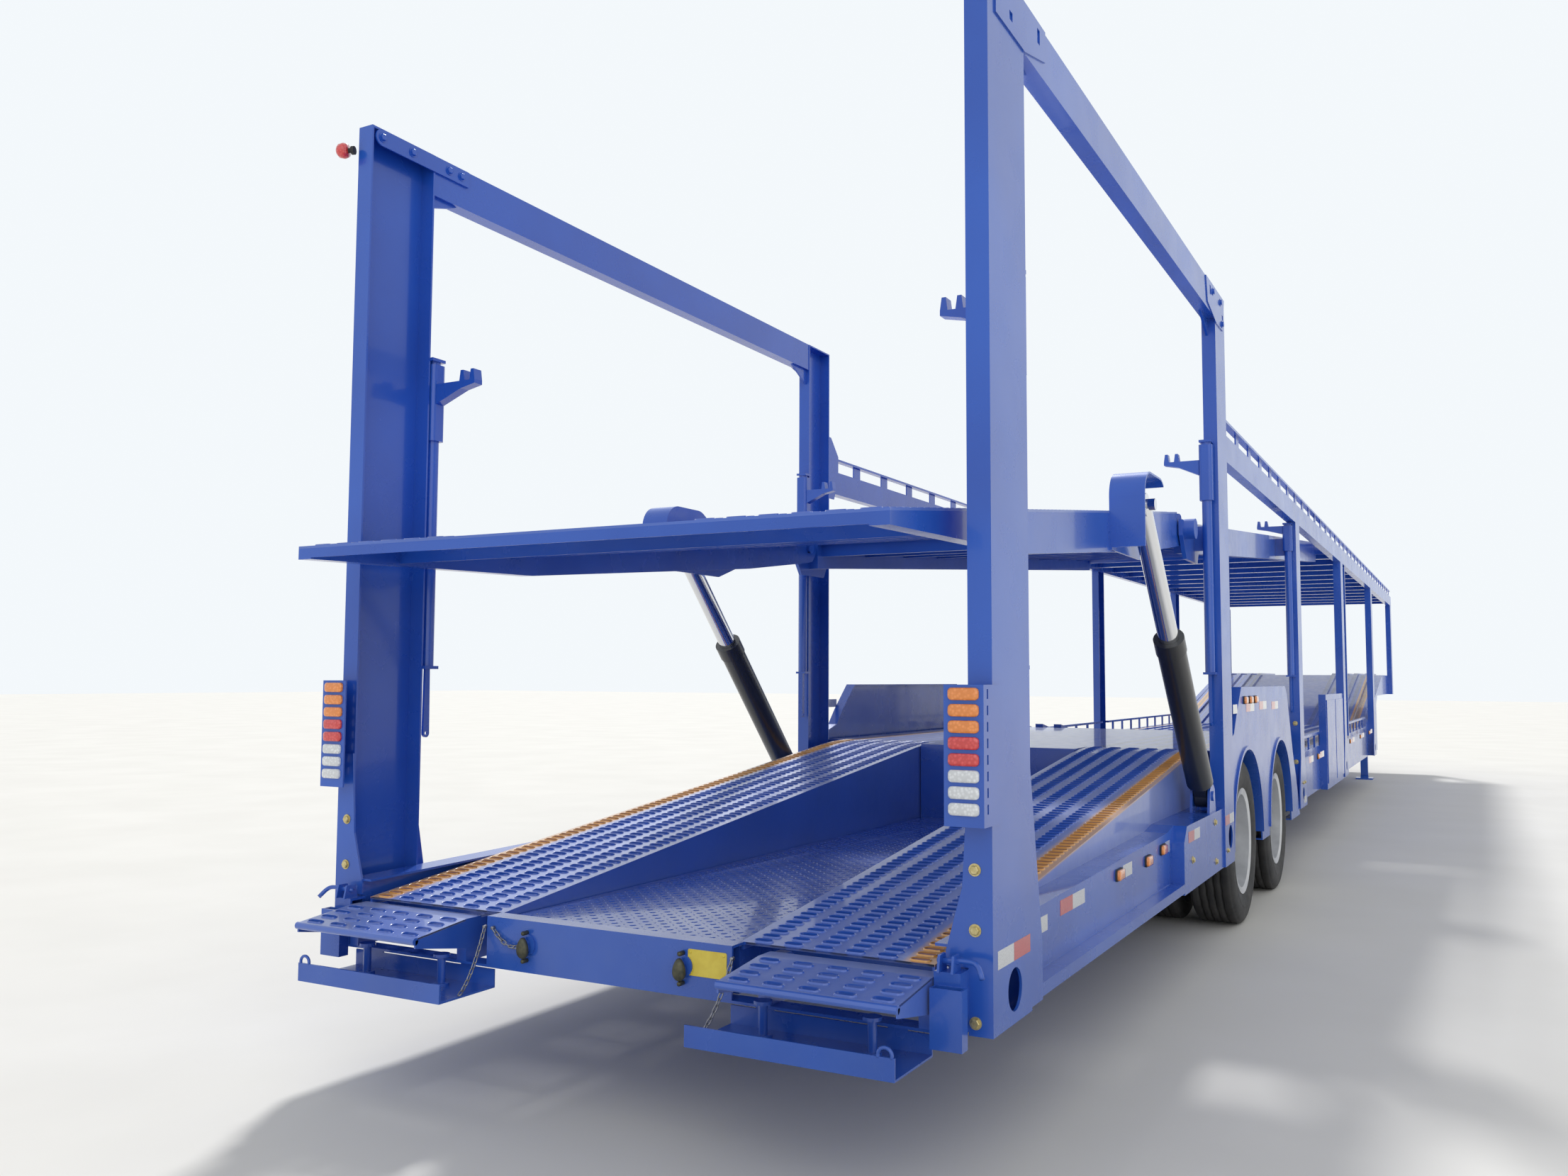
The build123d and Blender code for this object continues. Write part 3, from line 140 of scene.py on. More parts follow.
tree.links.new(shown.outputs[0], mixed.inputs[2])
tree.links.new(mixed.outputs[0], sky_out.inputs["Surface"])


def node_material(name, colour, roughness, metallic=0.0, coat=0.0):
    """A material with one shader, with its plain finish on the shader's own sockets."""
    material = bpy.data.materials.new(name)
    material.use_nodes = True
    shader = material.node_tree.nodes["Principled BSDF"]
    shader.inputs["Base Color"].default_value = (*colour, 1)
    shader.inputs["Roughness"].default_value = roughness
    shader.inputs["Metallic"].default_value = metallic
    shader.inputs["Coat Weight"].default_value = coat
    shader.inputs["Coat Roughness"].default_value = 0.06
    return material, material.node_tree, shader


def own_place(tree):
    """The place on the object, in the object's own coordinates."""
    return tree.nodes.new("ShaderNodeTexCoord").outputs["Object"]


def mottle(tree, scale, detail=3.0):
    """Soft noise from 0 to 1 over the object."""
    noise = tree.nodes.new("ShaderNodeTexNoise")
    noise.inputs["Scale"].default_value = scale
    noise.inputs["Detail"].default_value = detail
    tree.links.new(own_place(tree), noise.inputs["Vector"])
    return noise.outputs["Fac"]


def ramp_between(tree, value, low, high, first, last):
    """Turns a value between low and high into a blend from the first colour to the last."""
    blend = tree.nodes.new("ShaderNodeValToRGB")
    blend.color_ramp.elements[0].position = low
    blend.color_ramp.elements[0].color = (*first, 1)
    blend.color_ramp.elements[1].position = high
    blend.color_ramp.elements[1].color = (*last, 1)
    tree.links.new(value, blend.inputs["Fac"])
    return blend.outputs["Color"]


def mottled(tree, shader, scale, detail, low, high, first, last):
    """Base colour that drifts from the first colour to the last as soft noise goes from low to high."""
    colour = ramp_between(tree, mottle(tree, scale, detail), low, high, first, last)
    tree.links.new(colour, shader.inputs["Base Color"])


ground, tree, shader = node_material("pale_ground", GROUND_COLOUR, 0.9)
mottled(tree, shader, 0.9, 6.0, 0.35, 0.7, (0.76, 0.74, 0.69), GROUND_COLOUR)
SPREAD = 90.0
mesh = bpy.data.meshes.new("floor")
corners = [(-SPREAD, -SPREAD, 0), (SPREAD, -SPREAD, 0), (SPREAD, SPREAD, 0), (-SPREAD, SPREAD, 0)]
mesh.from_pydata(corners, [], [(0, 1, 2, 3)])
mesh.materials.append(ground)
link(bpy.data.objects.new("floor", mesh))


# Blue paint
# Nearly everything is welded steel sprayed with a glossy blue enamel. The spray leaves a fine orange peel
# and a slow change of depth over each panel, and the lowest parts have caught a little road dust.
BLUE = (0.020, 0.108, 0.540)
DEEP_BLUE = (0.015, 0.084, 0.455)
DUST = (0.15, 0.23, 0.38)
DUST_TOP = 1.2
DUST_FULL = 0.2
DUST_MOST = 0.22


def rough_between(tree, shader, scale, detail, low, high):
    """Roughness that follows soft noise, between low and high."""
    spread = tree.nodes.new("ShaderNodeMapRange")
    spread.inputs["To Min"].default_value = low
    spread.inputs["To Max"].default_value = high
    tree.links.new(mottle(tree, scale, detail), spread.inputs["Value"])
    tree.links.new(spread.outputs[0], shader.inputs["Roughness"])


def bumped(tree, shader, value, height):
    """Raises the surface by a value times a height in metres."""
    bump = tree.nodes.new("ShaderNodeBump")
    bump.inputs["Strength"].default_value = 0.6
    bump.inputs["Distance"].default_value = height
    tree.links.new(value, bump.inputs["Height"])
    tree.links.new(bump.outputs["Normal"], shader.inputs["Normal"])


def blended(tree, factor, first, last, way="MIX"):
    """Two colours, each given as a colour or a socket, blended by a factor from the first to the last."""
    mix = tree.nodes.new("ShaderNodeMix")
    mix.data_type = "RGBA"
    mix.blend_type = way
    for name, value in (("Factor", factor), ("A", first), ("B", last)):
        if isinstance(value, (int, float)):
            mix.inputs[name].default_value = value
        elif isinstance(value, tuple):
            mix.inputs[name].default_value = (*value, 1)
        else:
            tree.links.new(value, mix.inputs[name])
    return mix.outputs["Result"]


def enamel(name, colour, deep, roughness=0.22, coat=0.35):
    """Paint of slowly drifting depth, under patchy dust that grows from DUST_TOP down to DUST_FULL."""
    material, tree, shader = node_material(name, colour, roughness, coat=coat)
    body = ramp_between(tree, mottle(tree, 1.7), 0.35, 0.65, deep, colour)
    split = tree.nodes.new("ShaderNodeSeparateXYZ")
    tree.links.new(own_place(tree), split.inputs["Vector"])
    low = tree.nodes.new("ShaderNodeMapRange")
    low.inputs["From Min"].default_value = DUST_TOP
    low.inputs["From Max"].default_value = DUST_FULL
    low.inputs["To Max"].default_value = DUST_MOST
    tree.links.new(split.outputs["Z"], low.inputs["Value"])
    patch = worked(tree, "MULTIPLY", low.outputs[0], mottle(tree, 9.0, 8.0))
    tree.links.new(blended(tree, patch, body, DUST), shader.inputs["Base Color"])
    rough_between(tree, shader, 5.0, 6.0, roughness - 0.06, roughness + 0.14)
    bumped(tree, shader, mottle(tree, 180.0, 1.0), 0.0002)
    return material


def paint(name, material):
    """Gives a solid of the CAD model one material."""
    materials = frame["nodes"][name].data.materials
    materials.clear()
    materials.append(material)


blue = enamel("blue_enamel", BLUE, DEEP_BLUE)
for part in frame["record"]["subparts"]:
    if part["material_slot"] == "blue_paint":
        paint(part["node"], blue)


# Ramps
# Two pressed steel trackways rise from the rear cross-beam over the axles, one on each side of the floor.
# Each is one sheet, folded down at its edges as skirts and pierced by six rows of pills with raised rims.
# The outermost row is yellow-orange.
SHEET = 0.008
HOLE_LENGTH = 0.057
HOLE_WIDTH = 0.022
RIM_HEIGHT = 0.0045
RIM_WIDTH = 0.0045
PITCH = 0.048
ROWS = 6
ORANGE = (0.78, 0.36, 0.045)


def surface(name, points, faces, material, slot="blue_paint", body="chassis", smooth=False, colours=None):
    """One piece from an array of points and its faces, riding on a body."""
    mesh = bpy.data.meshes.new(name)
    faces = faces.tolist() if isinstance(faces, np.ndarray) else faces
    mesh.from_pydata(points.tolist(), [], faces)
    mesh.materials.append(material)
    if colours is not None:
        layer = mesh.attributes.new("tint", "FLOAT_COLOR", "POINT")
        layer.data.foreach_set("color", np.column_stack([colours, np.ones(len(colours))]).ravel())
    if smooth:
        mesh.polygons.foreach_set("use_smooth", np.ones(len(mesh.polygons), bool))
    obj = link(bpy.data.objects.new(name, mesh))
    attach(obj, body)
    return obj


def grid_faces(rows, columns, ring=False):
    """Quads between neighbouring rows of a grid of points; a ring joins its last column to its first."""
    i = np.arange(rows - 1)[:, None]
    j = np.arange(columns if ring else columns - 1)[None, :]
    after = (j + 1) % columns
    quads = [i * columns + j, i * columns + after, (i + 1) * columns + after, (i + 1) * columns + j]
    return np.stack(np.broadcast_arrays(*quads), axis=-1).reshape(-1, 4)


def copies(points, faces, places):
    """A shape's points moved to every place, with its faces counted on for each copy."""
    places = np.asarray(places)
    moved = (points[None] + places[:, None]).reshape(-1, 3)
    counted = faces[None] + (np.arange(len(places)) * len(points))[:, None, None]
    return moved, counted.reshape(-1, faces.shape[1])


def joined(*parts):
    """Several (points, faces) as one, with the faces counted on."""
    start = np.cumsum([0] + [len(points) for points, faces in parts[:-1]])
    return np.concatenate([points for points, faces in parts]), np.concatenate(
        [faces + first for (points, faces), first in zip(parts, start)]
    )


def welded(points, faces):
    """The same surface with points nearer than a hundredth of a millimetre made one."""
    keys = np.round(points * 1e5).astype(np.int64)
    first, where = np.unique(keys, axis=0, return_index=True, return_inverse=True)[1:]
    return points[first], where.ravel()[faces]


def pierced_cell(pitch, row, length, width, thick):
    """One cell of pierced sheet as (along, across, up): rings from the cell's edge to the rim's foot, crest
    and lip, through the sheet and out to the edge below. A pill is two half-circles and two straights."""
    arc = np.radians(np.arange(0, 181, 30))
    half = np.concatenate([[[1, 0]], np.column_stack([np.cos(arc), np.sin(arc)])])
    unit = np.concatenate([half, -half])
    straight = np.concatenate([[0], np.ones(7), [0], -np.ones(7)]) * (length - width) / 2
    angle = np.arange(16) * np.pi / 8
    edge = np.column_stack([np.cos(angle), np.sin(angle)])
    edge /= np.abs(edge).max(axis=1, keepdims=True)
    edge = edge * (pitch / 2, row / 2)

    def pill(grown):
        """The pill with its outline moved out by a distance."""
        return unit * (width / 2 + grown) + np.column_stack([np.zeros(16), straight])

    rings = [
        (edge, 0),
        (pill(RIM_WIDTH), 0),
        (pill(RIM_WIDTH * 0.35), RIM_HEIGHT),
        (pill(-RIM_WIDTH * 0.1), RIM_HEIGHT * 0.8),
        (pill(-RIM_WIDTH * 0.1), -thick),
        (edge, -thick),
    ]
    points = np.concatenate([np.column_stack([ring, np.full(16, up)]) for ring, up in rings])
    return points, grid_faces(len(rings), 16, ring=True)


def on_line(points, height):
    """Lays (along, across, up) points on a line that gives height by station, square to its slope."""
    s, y, up = points.T
    step = 0.002
    slope = (height(s + step) - height(s - step)) / (2 * step)
    length = np.hypot(1, slope)
    return np.column_stack([REAR + s - up * slope / length, y, height(s) + up / length])


def strip_box(stations, y0, y1, top, bottom):
    """A closed strip along the stations between two widths, with a top and a bottom height at each."""
    stations, top, bottom = (np.asarray(v, float) for v in np.broadcast_arrays(stations, top, bottom))
    low, high = sorted((y0, y1))
    corners = [(low, bottom), (high, bottom), (high, top), (low, top)]
    line = REAR + stations
    points = np.stack([np.column_stack([line, np.full_like(line, y), z]) for y, z in corners], 1)
    n = len(stations)
    ends = [[0, 1, 2, 3], [4 * n - 1, 4 * n - 2, 4 * n - 3, 4 * n - 4]]
    return points.reshape(-1, 3), np.concatenate([grid_faces(n, 4, ring=True)[:, ::-1], ends])


def sheet_strip(stations, y0, y1, height):
    """A strip of the sheet itself, which hangs under its height line."""
    top = height(np.asarray(stations, float))
    return strip_box(stations, y0, y1, top, top - SHEET)


def pierced_track(start, count, y0, y1, rows, height, pitch=PITCH, length=HOLE_LENGTH, thick=SHEET):
    """Cells side by side over a trackway between two widths, laid on its height line."""
    row = (y1 - y0) / rows
    along = start + (np.arange(count) + 0.5) * pitch
    widths = y0 + (np.arange(rows) + 0.5) * row
    places = np.stack(np.meshgrid(along, widths, [0.0], indexing="ij"), -1).reshape(-1, 3)
    points, faces = copies(*pierced_cell(pitch, row, length, HOLE_WIDTH, thick), places)
    return on_line(points, height), faces


ramp_low, ramp_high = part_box("ramp_left")
RAMP_IN, RAMP_OUT = ramp_low[1], ramp_high[1]
RAMP_FOOT = ramp_low[2]
RAMP_START, DECK_HEIGHT = 0.595, ramp_high[2]
RAMP_END = ramp_high[0] - REAR
CREST = 0.150
RISE = (DECK_HEIGHT - RAMP_START) / (RAMP_END - CREST)
RISE_END = RAMP_END - 2 * CREST
knee_stations = [-1, RISE_END, RAMP_END - CREST, RAMP_END, RAMP_END + 1]
knee_heights = [RAMP_START - RISE, DECK_HEIGHT - RISE * CREST, DECK_HEIGHT - RISE * CREST / 4]
knee_heights += [DECK_HEIGHT, DECK_HEIGHT]


def ramp_height(s):
    """A straight rise that turns level at the deck in two steps."""
    return np.interp(s, knee_stations, knee_heights)


glossy, tree, shader = node_material("trodden_enamel", BLUE, 0.3, coat=0.5)
shader.inputs["Specular IOR Level"].default_value = 1.0
shader.inputs["Sheen Weight"].default_value = 0.7
shader.inputs["Sheen Roughness"].default_value = 0.35
shader.inputs["Sheen Tint"].default_value = (0.80, 0.86, 1.0, 1)
tint = tree.nodes.new("ShaderNodeAttribute")
tint.attribute_name = "tint"
worn = ramp_between(tree, mottle(tree, 2.3, 5.0), 0.3, 0.7, (0.82, 0.82, 0.82), (1, 1, 1))
shade = blended(tree, 1, tint.outputs["Color"], worn, "MULTIPLY")
tree.links.new(shade, shader.inputs["Base Color"])
rough_between(tree, shader, 14.0, 6.0, 0.22, 0.46)
bumped(tree, shader, mottle(tree, 60.0, 2.0), 0.0006)

ROW_FROM = 0.4748
ROW_STEP = 0.1005
ROW_TO = ROW_FROM + ROWS * ROW_STEP
ORANGE_DEPTH = 0.006


def tinted(points, orange=False):
    """A colour for each point: orange where the mask says so and blue elsewhere."""
    return np.where(np.broadcast_to(orange, len(points))[:, None], ORANGE, BLUE)


stations = np.concatenate([np.arange(0, RISE_END, 0.1), np.linspace(RISE_END, RAMP_END, 7)])
top = ramp_height(stations)
for side, sign in (("left", 1), ("right", -1)):
    track = pierced_track(0, round(RAMP_END / PITCH), ROW_FROM, ROW_TO, ROWS, ramp_height)
    edges = [
        sheet_strip(stations, RAMP_IN, ROW_FROM, ramp_height),
        sheet_strip(stations, ROW_TO, RAMP_OUT, ramp_height),
        strip_box(stations, RAMP_IN, RAMP_IN + SHEET, top - SHEET, RAMP_FOOT),
        strip_box(stations, RAMP_OUT - SHEET, RAMP_OUT, top - SHEET, RAMP_FOOT),
    ]
    points, faces = joined(welded(*track), *edges)
    outermost = points[:, 1] > ROW_FROM + (ROWS - 1) * ROW_STEP
    orange = outermost & (points[:, 2] > ramp_height(points[:, 0] - REAR) - ORANGE_DEPTH)
    points, faces = points * (1, sign, 1), faces[:, ::sign]
    colours = tinted(points, orange)
    piece = surface(f"ramp_sheet_{side}", points, faces, glossy, colours=colours)
    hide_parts(f"ramp_{side}")


# Loading ladders
# Each ladder slides in under its ramp, so that its end is the step: a tread pierced by rimmed holes, with a
# rolled lip and two cheeks, on flat rails that lie on the cross-beam and are joined by round rungs.
ladder_low, ladder_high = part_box("loading_steps")
STEP_IN, STEP_OUT = RAMP_IN + 0.1, ladder_high[1]
STEP_TOP = ladder_high[2]
STEP_ROLL = 0.012
STEP_BACK = ladder_low[0] - REAR + STEP_ROLL
STEP_FRONT = -0.07
STEP_DROP = 0.026
STEP_PLATE = 0.006
ROLL_PROUD = 0.003
CHEEK_BACK = 0.057
CHEEK_FRONT = 0.097
TREAD_ROWS = 4
TREAD_COLUMNS = 5
TREAD_HOLE = 0.060
RAIL_FOOT = ladder_low[2]
RAIL_HEIGHT = 0.05
RAIL_WIDTH = 0.04
LADDER_END = ladder_high[0] - REAR
LADDER_NECK = 0.06
NECK_SLOPE = 0.08
RUNGS = 5
RUNG_R = 0.015


def block(outline, y0, y1):
    """A closed prism: four (station, height) corners carried from one width to another."""
    outline = np.asarray(outline, float)
    after = np.roll(outline, -1, axis=0)
    if np.sum(outline[:, 0] * after[:, 1] - outline[:, 1] * after[:, 0]) > 0:
        outline = outline[::-1]
    s, z = outline.T
    rings = [np.column_stack([REAR + s, np.full(4, y), z]) for y in sorted((y0, y1))]
    faces = np.concatenate([grid_faces(2, 4, ring=True), [[3, 2, 1, 0], [4, 5, 6, 7]]])
    return np.concatenate(rings), faces


def across(n):
    """Quads that close a ring of n points by strips laid across it."""
    k = np.arange(n // 2 - 1)
    return np.column_stack([k, k + 1, n - 2 - k, n - 1 - k])


def tube_faces(rings, sides):
    """Faces of a tube of rings, closed across its first ring and its last."""
    ends = [across(sides)[:, ::-1], across(sides) + (rings - 1) * sides]
    return np.concatenate([grid_faces(rings, sides, ring=True), *ends])


def lathed(profile, start, toward, sides=12):
    """Rings of (distance, radius) round the line that leaves a start point in a direction."""
    toward = np.array(toward, float) / np.linalg.norm(toward)
    side = np.cross(toward, (1.0, 0.0, 0.0) if abs(toward[2]) > 0.9 else (0.0, 0.0, 1.0))
    side /= np.linalg.norm(side)
    angle = np.arange(sides) * 2 * np.pi / sides
    circle = np.cos(angle)[:, None] * side + np.sin(angle)[:, None] * np.cross(toward, side)
    distance, radius = np.asarray(profile, float).T
    points = np.asarray(start) + distance[:, None, None] * toward + radius[:, None, None] * circle
    return points.reshape(-1, 3), tube_faces(len(profile), sides)


def both_sides(*parts):
    """Shapes (points, faces) on the left as one, with their mirror image on the right."""
    points, faces = joined(*parts)
    return joined((points, faces), (points * (1, -1, 1), faces[:, ::-1]))


def tread_height(s):
    """The tread is level forward of its holes and slopes down from there to its rear lip."""
    return np.interp(s, [STEP_BACK, STEP_FRONT, 0], [STEP_TOP - STEP_DROP, STEP_TOP, STEP_TOP])


tread_pitch = (STEP_FRONT - STEP_BACK) / TREAD_ROWS
lip = (REAR + STEP_BACK, STEP_IN, STEP_TOP - STEP_DROP - STEP_ROLL + ROLL_PROUD)
cheek = [
    (STEP_BACK, STEP_TOP - CHEEK_BACK),
    (STEP_FRONT, STEP_TOP - CHEEK_FRONT),
    (STEP_FRONT, STEP_TOP - STEP_PLATE),
    (STEP_BACK, STEP_TOP - STEP_DROP - STEP_PLATE),
]
rail_top = RAIL_FOOT + RAIL_HEIGHT
rail = [(STEP_FRONT, RAIL_FOOT), (LADDER_END, RAIL_FOOT), (LADDER_END, rail_top), (STEP_FRONT, rail_top)]
neck = [
    (STEP_FRONT, rail_top),
    (LADDER_NECK + NECK_SLOPE, rail_top),
    (LADDER_NECK, STEP_TOP - STEP_PLATE),
    (STEP_FRONT, STEP_TOP - STEP_PLATE),
]
tread_grid = (STEP_BACK, TREAD_ROWS, STEP_IN, STEP_OUT, TREAD_COLUMNS)
tread = pierced_track(*tread_grid, tread_height, tread_pitch, TREAD_HOLE, STEP_PLATE)
parts = [
    welded(*tread),
    strip_box([STEP_FRONT, 0], STEP_IN, STEP_OUT, STEP_TOP, STEP_TOP - STEP_PLATE),
    lathed([(0, STEP_ROLL), (STEP_OUT - STEP_IN, STEP_ROLL)], lip, (0, 1, 0), 16),
]
parts += [block(cheek, y, y + STEP_PLATE) for y in (STEP_IN, STEP_OUT - STEP_PLATE)]
parts += [block(form, y, y + RAIL_WIDTH) for form in (rail, neck) for y in (STEP_IN, STEP_OUT - RAIL_WIDTH)]
for k in range(RUNGS):
    s = LADDER_NECK + (k + 0.6) * (LADDER_END - LADDER_NECK) / RUNGS
    centre = (REAR + s, STEP_IN + RAIL_WIDTH, RAIL_FOOT + RAIL_HEIGHT / 2)
    parts.append(lathed([(0, RUNG_R), (STEP_OUT - STEP_IN - 2 * RAIL_WIDTH, RUNG_R)], centre, (0, 1, 0)))
points, faces = both_sides(*parts)
piece = surface("ladder_treads", points, faces, glossy, colours=tinted(points))
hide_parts("loading_steps")


# Centre floor
# Between the ramps lies a sunken floor of chequer plate, rolled with rows of small lozenges that turn
# alternately left and right, with a plain wall up to the deck over the axles.
LOZENGE_PITCH = 0.036
LOZENGE_LENGTH = 0.026
LOZENGE_WIDTH = 0.007
LOZENGE_HEIGHT = 0.0016


def lozenges(s0, s1, y0, y1, height):
    """Low four-sided pyramids with a flat top, every other one turned square to its neighbours."""
    foot = np.array([(1, 0, 0), (0, 1, 0), (-1, 0, 0), (0, -1, 0)], float)
    shape = np.concatenate([foot, foot * 0.55 + (0, 0, 1)])
    lying = shape * (LOZENGE_LENGTH / 2, LOZENGE_WIDTH / 2, LOZENGE_HEIGHT)
    quarter = np.sqrt(0.5)
    left_turned = lying @ np.array([(quarter, quarter, 0), (-quarter, quarter, 0), (0, 0, 1)])
    right_turned = lying @ np.array([(quarter, -quarter, 0), (quarter, quarter, 0), (0, 0, 1)])
    faces = np.concatenate([grid_faces(2, 4, ring=True), [[4, 5, 6, 7]]])
    s, y = np.meshgrid(np.arange(s0, s1, LOZENGE_PITCH), np.arange(y0, y1, LOZENGE_PITCH), indexing="ij")
    odd = np.indices(s.shape).sum(axis=0) % 2 == 1
    parts = []
    for mask, form in ((odd, left_turned), (~odd, right_turned)):
        places = np.column_stack([s[mask], y[mask], np.zeros(mask.sum())])
        points, counted = copies(form, faces, places)
        parts.append((on_line(points, height), counted))
    return joined(*parts)


floor_low, floor_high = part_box("centre_floor")
FLOOR_TOP = floor_low[2] + SHEET
FLOOR_END = 3.56
EDGE = 0.03


def floor_height(s):
    """The floor is level."""
    return np.full_like(s, FLOOR_TOP)


points, faces = lozenges(EDGE, FLOOR_END, floor_low[1] + EDGE, floor_high[1] - EDGE, floor_height)
surface("centre_floor_lozenges", points, faces, glossy, colours=tinted(points))


# Rear platform deck
# The tilting upper platform carries the same pierced trackways on a sheet that ends in a thin rear lip.
# Between them runs a plain gutter.
deck_low, deck_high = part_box("platform_deck")
DECK_SIDE = deck_high[1]
PLATFORM_FROM = deck_low[0] - REAR
PLATFORM_TO = deck_high[0] - REAR
PLATFORM_SLOPE = 0.115
PLATFORM_TOP = deck_high[2]


def platform_height(s):
    """A straight slope up to the front edge."""
    return PLATFORM_TOP + (s - PLATFORM_TO) * PLATFORM_SLOPE


GUTTER = 0.44
BORDER = 0.02
count = int((PLATFORM_TO - PLATFORM_FROM) / PITCH)
first = PLATFORM_FROM + (PLATFORM_TO - PLATFORM_FROM - count * PITCH) / 2
last = first + count * PITCH
parts = []
for sign in (1, -1):
    track = pierced_track(first, count, GUTTER + BORDER, DECK_SIDE - BORDER, ROWS, platform_height)
    points, faces = welded(*track)
    parts.append((points * (1, sign, 1), faces[:, ::sign]))
    for pair in ([PLATFORM_FROM, first], [last, PLATFORM_TO]):
        parts.append(sheet_strip(pair, sign * GUTTER, sign * DECK_SIDE, platform_height))
    for y0, y1 in ((GUTTER, GUTTER + BORDER), (DECK_SIDE - BORDER, DECK_SIDE)):
        parts.append(sheet_strip([first, last], sign * y0, sign * y1, platform_height))
parts.append(sheet_strip([PLATFORM_FROM, PLATFORM_TO], -GUTTER, GUTTER, platform_height))
points, faces = joined(*parts)
piece = surface("platform_sheet", points, faces, glossy, body="platform", colours=tinted(points))
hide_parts("platform_deck")


# Tyres
# Eight black road tyres in twins. A tyre is its section turned about the axle: beads on the rim, bulging
# walls, square shoulders, and a ribbed tread with four grooves that waver slightly as they run round.
rubber, tree, shader = node_material("tyre_rubber", (0.022, 0.022, 0.024), 0.72)
mottled(tree, shader, 7.0, 8.0, 0.35, 0.75, (0.018, 0.018, 0.02), (0.055, 0.053, 0.052))
rough_between(tree, shader, 30.0, 6.0, 0.55, 0.85)
bumped(tree, shader, mottle(tree, 400.0, 3.0), 0.0008)
wheel_low, wheel_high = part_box("tyres_rear_left")
TYRE_R = (wheel_high[2] - wheel_low[2]) / 2
TWIN_OFFSET = 0.1575
GROOVES = (-0.060, -0.021, 0.021, 0.060)
GROOVE_HALF = 0.005
GROOVE_DEPTH = 0.013
GROOVE_LIP = 0.0006
WAVER_WITHIN = 0.08
AROUND = 120
WAVER = 0.0022
WAVES = 30
SHOULDER = 0.0935
SHOULDER_DROP = 0.0015
TWINS = ("rear_left", "rear_right", "front_left", "front_right")


def middle_of(name):
    """The middle of a solid's box."""
    return [(low + high) / 2 for low, high in zip(*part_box(name))]


def tyre_section():
    """One section as (radius, distance from the middle): a wall from bead to shoulder, the grooved tread,
    and the other wall back to its bead."""
    wall = [(0.2705, 0.098), (0.284, 0.1035), (0.290, 0.1035), (0.303, 0.112), (0.330, 0.121)]
    wall += [(0.366, 0.1272), (0.372, 0.1275), (0.376, 0.1262), (0.380, 0.1265), (0.410, 0.1245)]
    wall += [(0.435, 0.119), (0.449, 0.1115), (0.4535, 0.105), (0.4575, 0.1045), (0.4625, 0.0985)]
    wall = np.array(wall)
    tread = [(TYRE_R - SHOULDER_DROP, -SHOULDER)]
    for y in GROOVES:
        edge, floor = TYRE_R - GROOVE_LIP, TYRE_R - GROOVE_DEPTH
        tread += [(edge, y - GROOVE_HALF), (floor, y - GROOVE_HALF * 0.5)]
        tread += [(floor, y + GROOVE_HALF * 0.5), (edge, y + GROOVE_HALF)]
    tread += [(TYRE_R - SHOULDER_DROP, SHOULDER)]
    return np.concatenate([wall * (1, -1), tread, wall[::-1]])


def tyre(centre, y):
    """The section carried round the axle, its tread shifted sideways by a triangle wave of the angle."""
    section = tyre_section()
    angle = np.arange(AROUND) * 2 * np.pi / AROUND
    wave = WAVER * (2 * np.abs((angle * WAVES / (2 * np.pi)) % 1 - 0.5) * 2 - 1)
    inner = np.abs(section[:, 1]) < WAVER_WITHIN
    radius = np.broadcast_to(section[:, 0, None], (len(section), AROUND))
    sideways = section[:, 1, None] + inner[:, None] * wave[None]
    x, z = centre[0] + radius * np.cos(angle), centre[1] + radius * np.sin(angle)
    points = np.stack([x, y + sideways, z], -1)
    points = np.concatenate([points, points[:1]])
    return points.reshape(-1, 3), grid_faces(len(section) + 1, AROUND, ring=True)


for twin in TWINS:
    x, y, z = middle_of(f"tyres_{twin}")
    pair = [tyre((x, z), y + offset) for offset in (-TWIN_OFFSET, TWIN_OFFSET)]
    points, faces = joined(*(welded(*each) for each in pair))
    body = f"twin_wheel_{twin}"
    piece = surface(f"road_tyres_{twin}", points, faces, rubber, "tyre", body, smooth=True)
    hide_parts(f"tyres_{twin}")


# Rims and hubs
# Pressed steel disc wheels sprayed silver, two bolted back to back on each hub. The paint is uneven, with
# patches darker or duller than the rest.
silver, tree, shader = node_material("silver_enamel", (0.60, 0.61, 0.63), 0.35, metallic=0.25, coat=0.4)
mottled(tree, shader, 11.0, 6.0, 0.3, 0.75, (0.50, 0.51, 0.53), (0.66, 0.67, 0.69))
rough_between(tree, shader, 25.0, 6.0, 0.25, 0.5)
for twin in TWINS:
    paint(f"wheel_{twin}", silver)


# Cylinders
# Each lifting cylinder has a black barrel and a hard-chromed rod. The axles and springs are painted in the
# same black, and the kingpin plate is bare greased steel.
black = enamel("black_enamel", (0.022, 0.024, 0.028), (0.014, 0.015, 0.018), 0.34, 0.4)
chrome, tree, shader = node_material("hard_chrome", (0.74, 0.75, 0.77), 0.12, metallic=1.0)
rough_between(tree, shader, 40.0, 4.0, 0.06, 0.2)
bare, tree, shader = node_material("greased_steel", (0.30, 0.30, 0.31), 0.45, metallic=0.9)
rough_between(tree, shader, 18.0, 6.0, 0.3, 0.6)
plain = {"black_paint": black, "chrome": chrome, "bare_steel": bare}
for part in frame["record"]["subparts"]:
    if part["material_slot"] in plain:
        paint(part["node"], plain[part["material_slot"]])


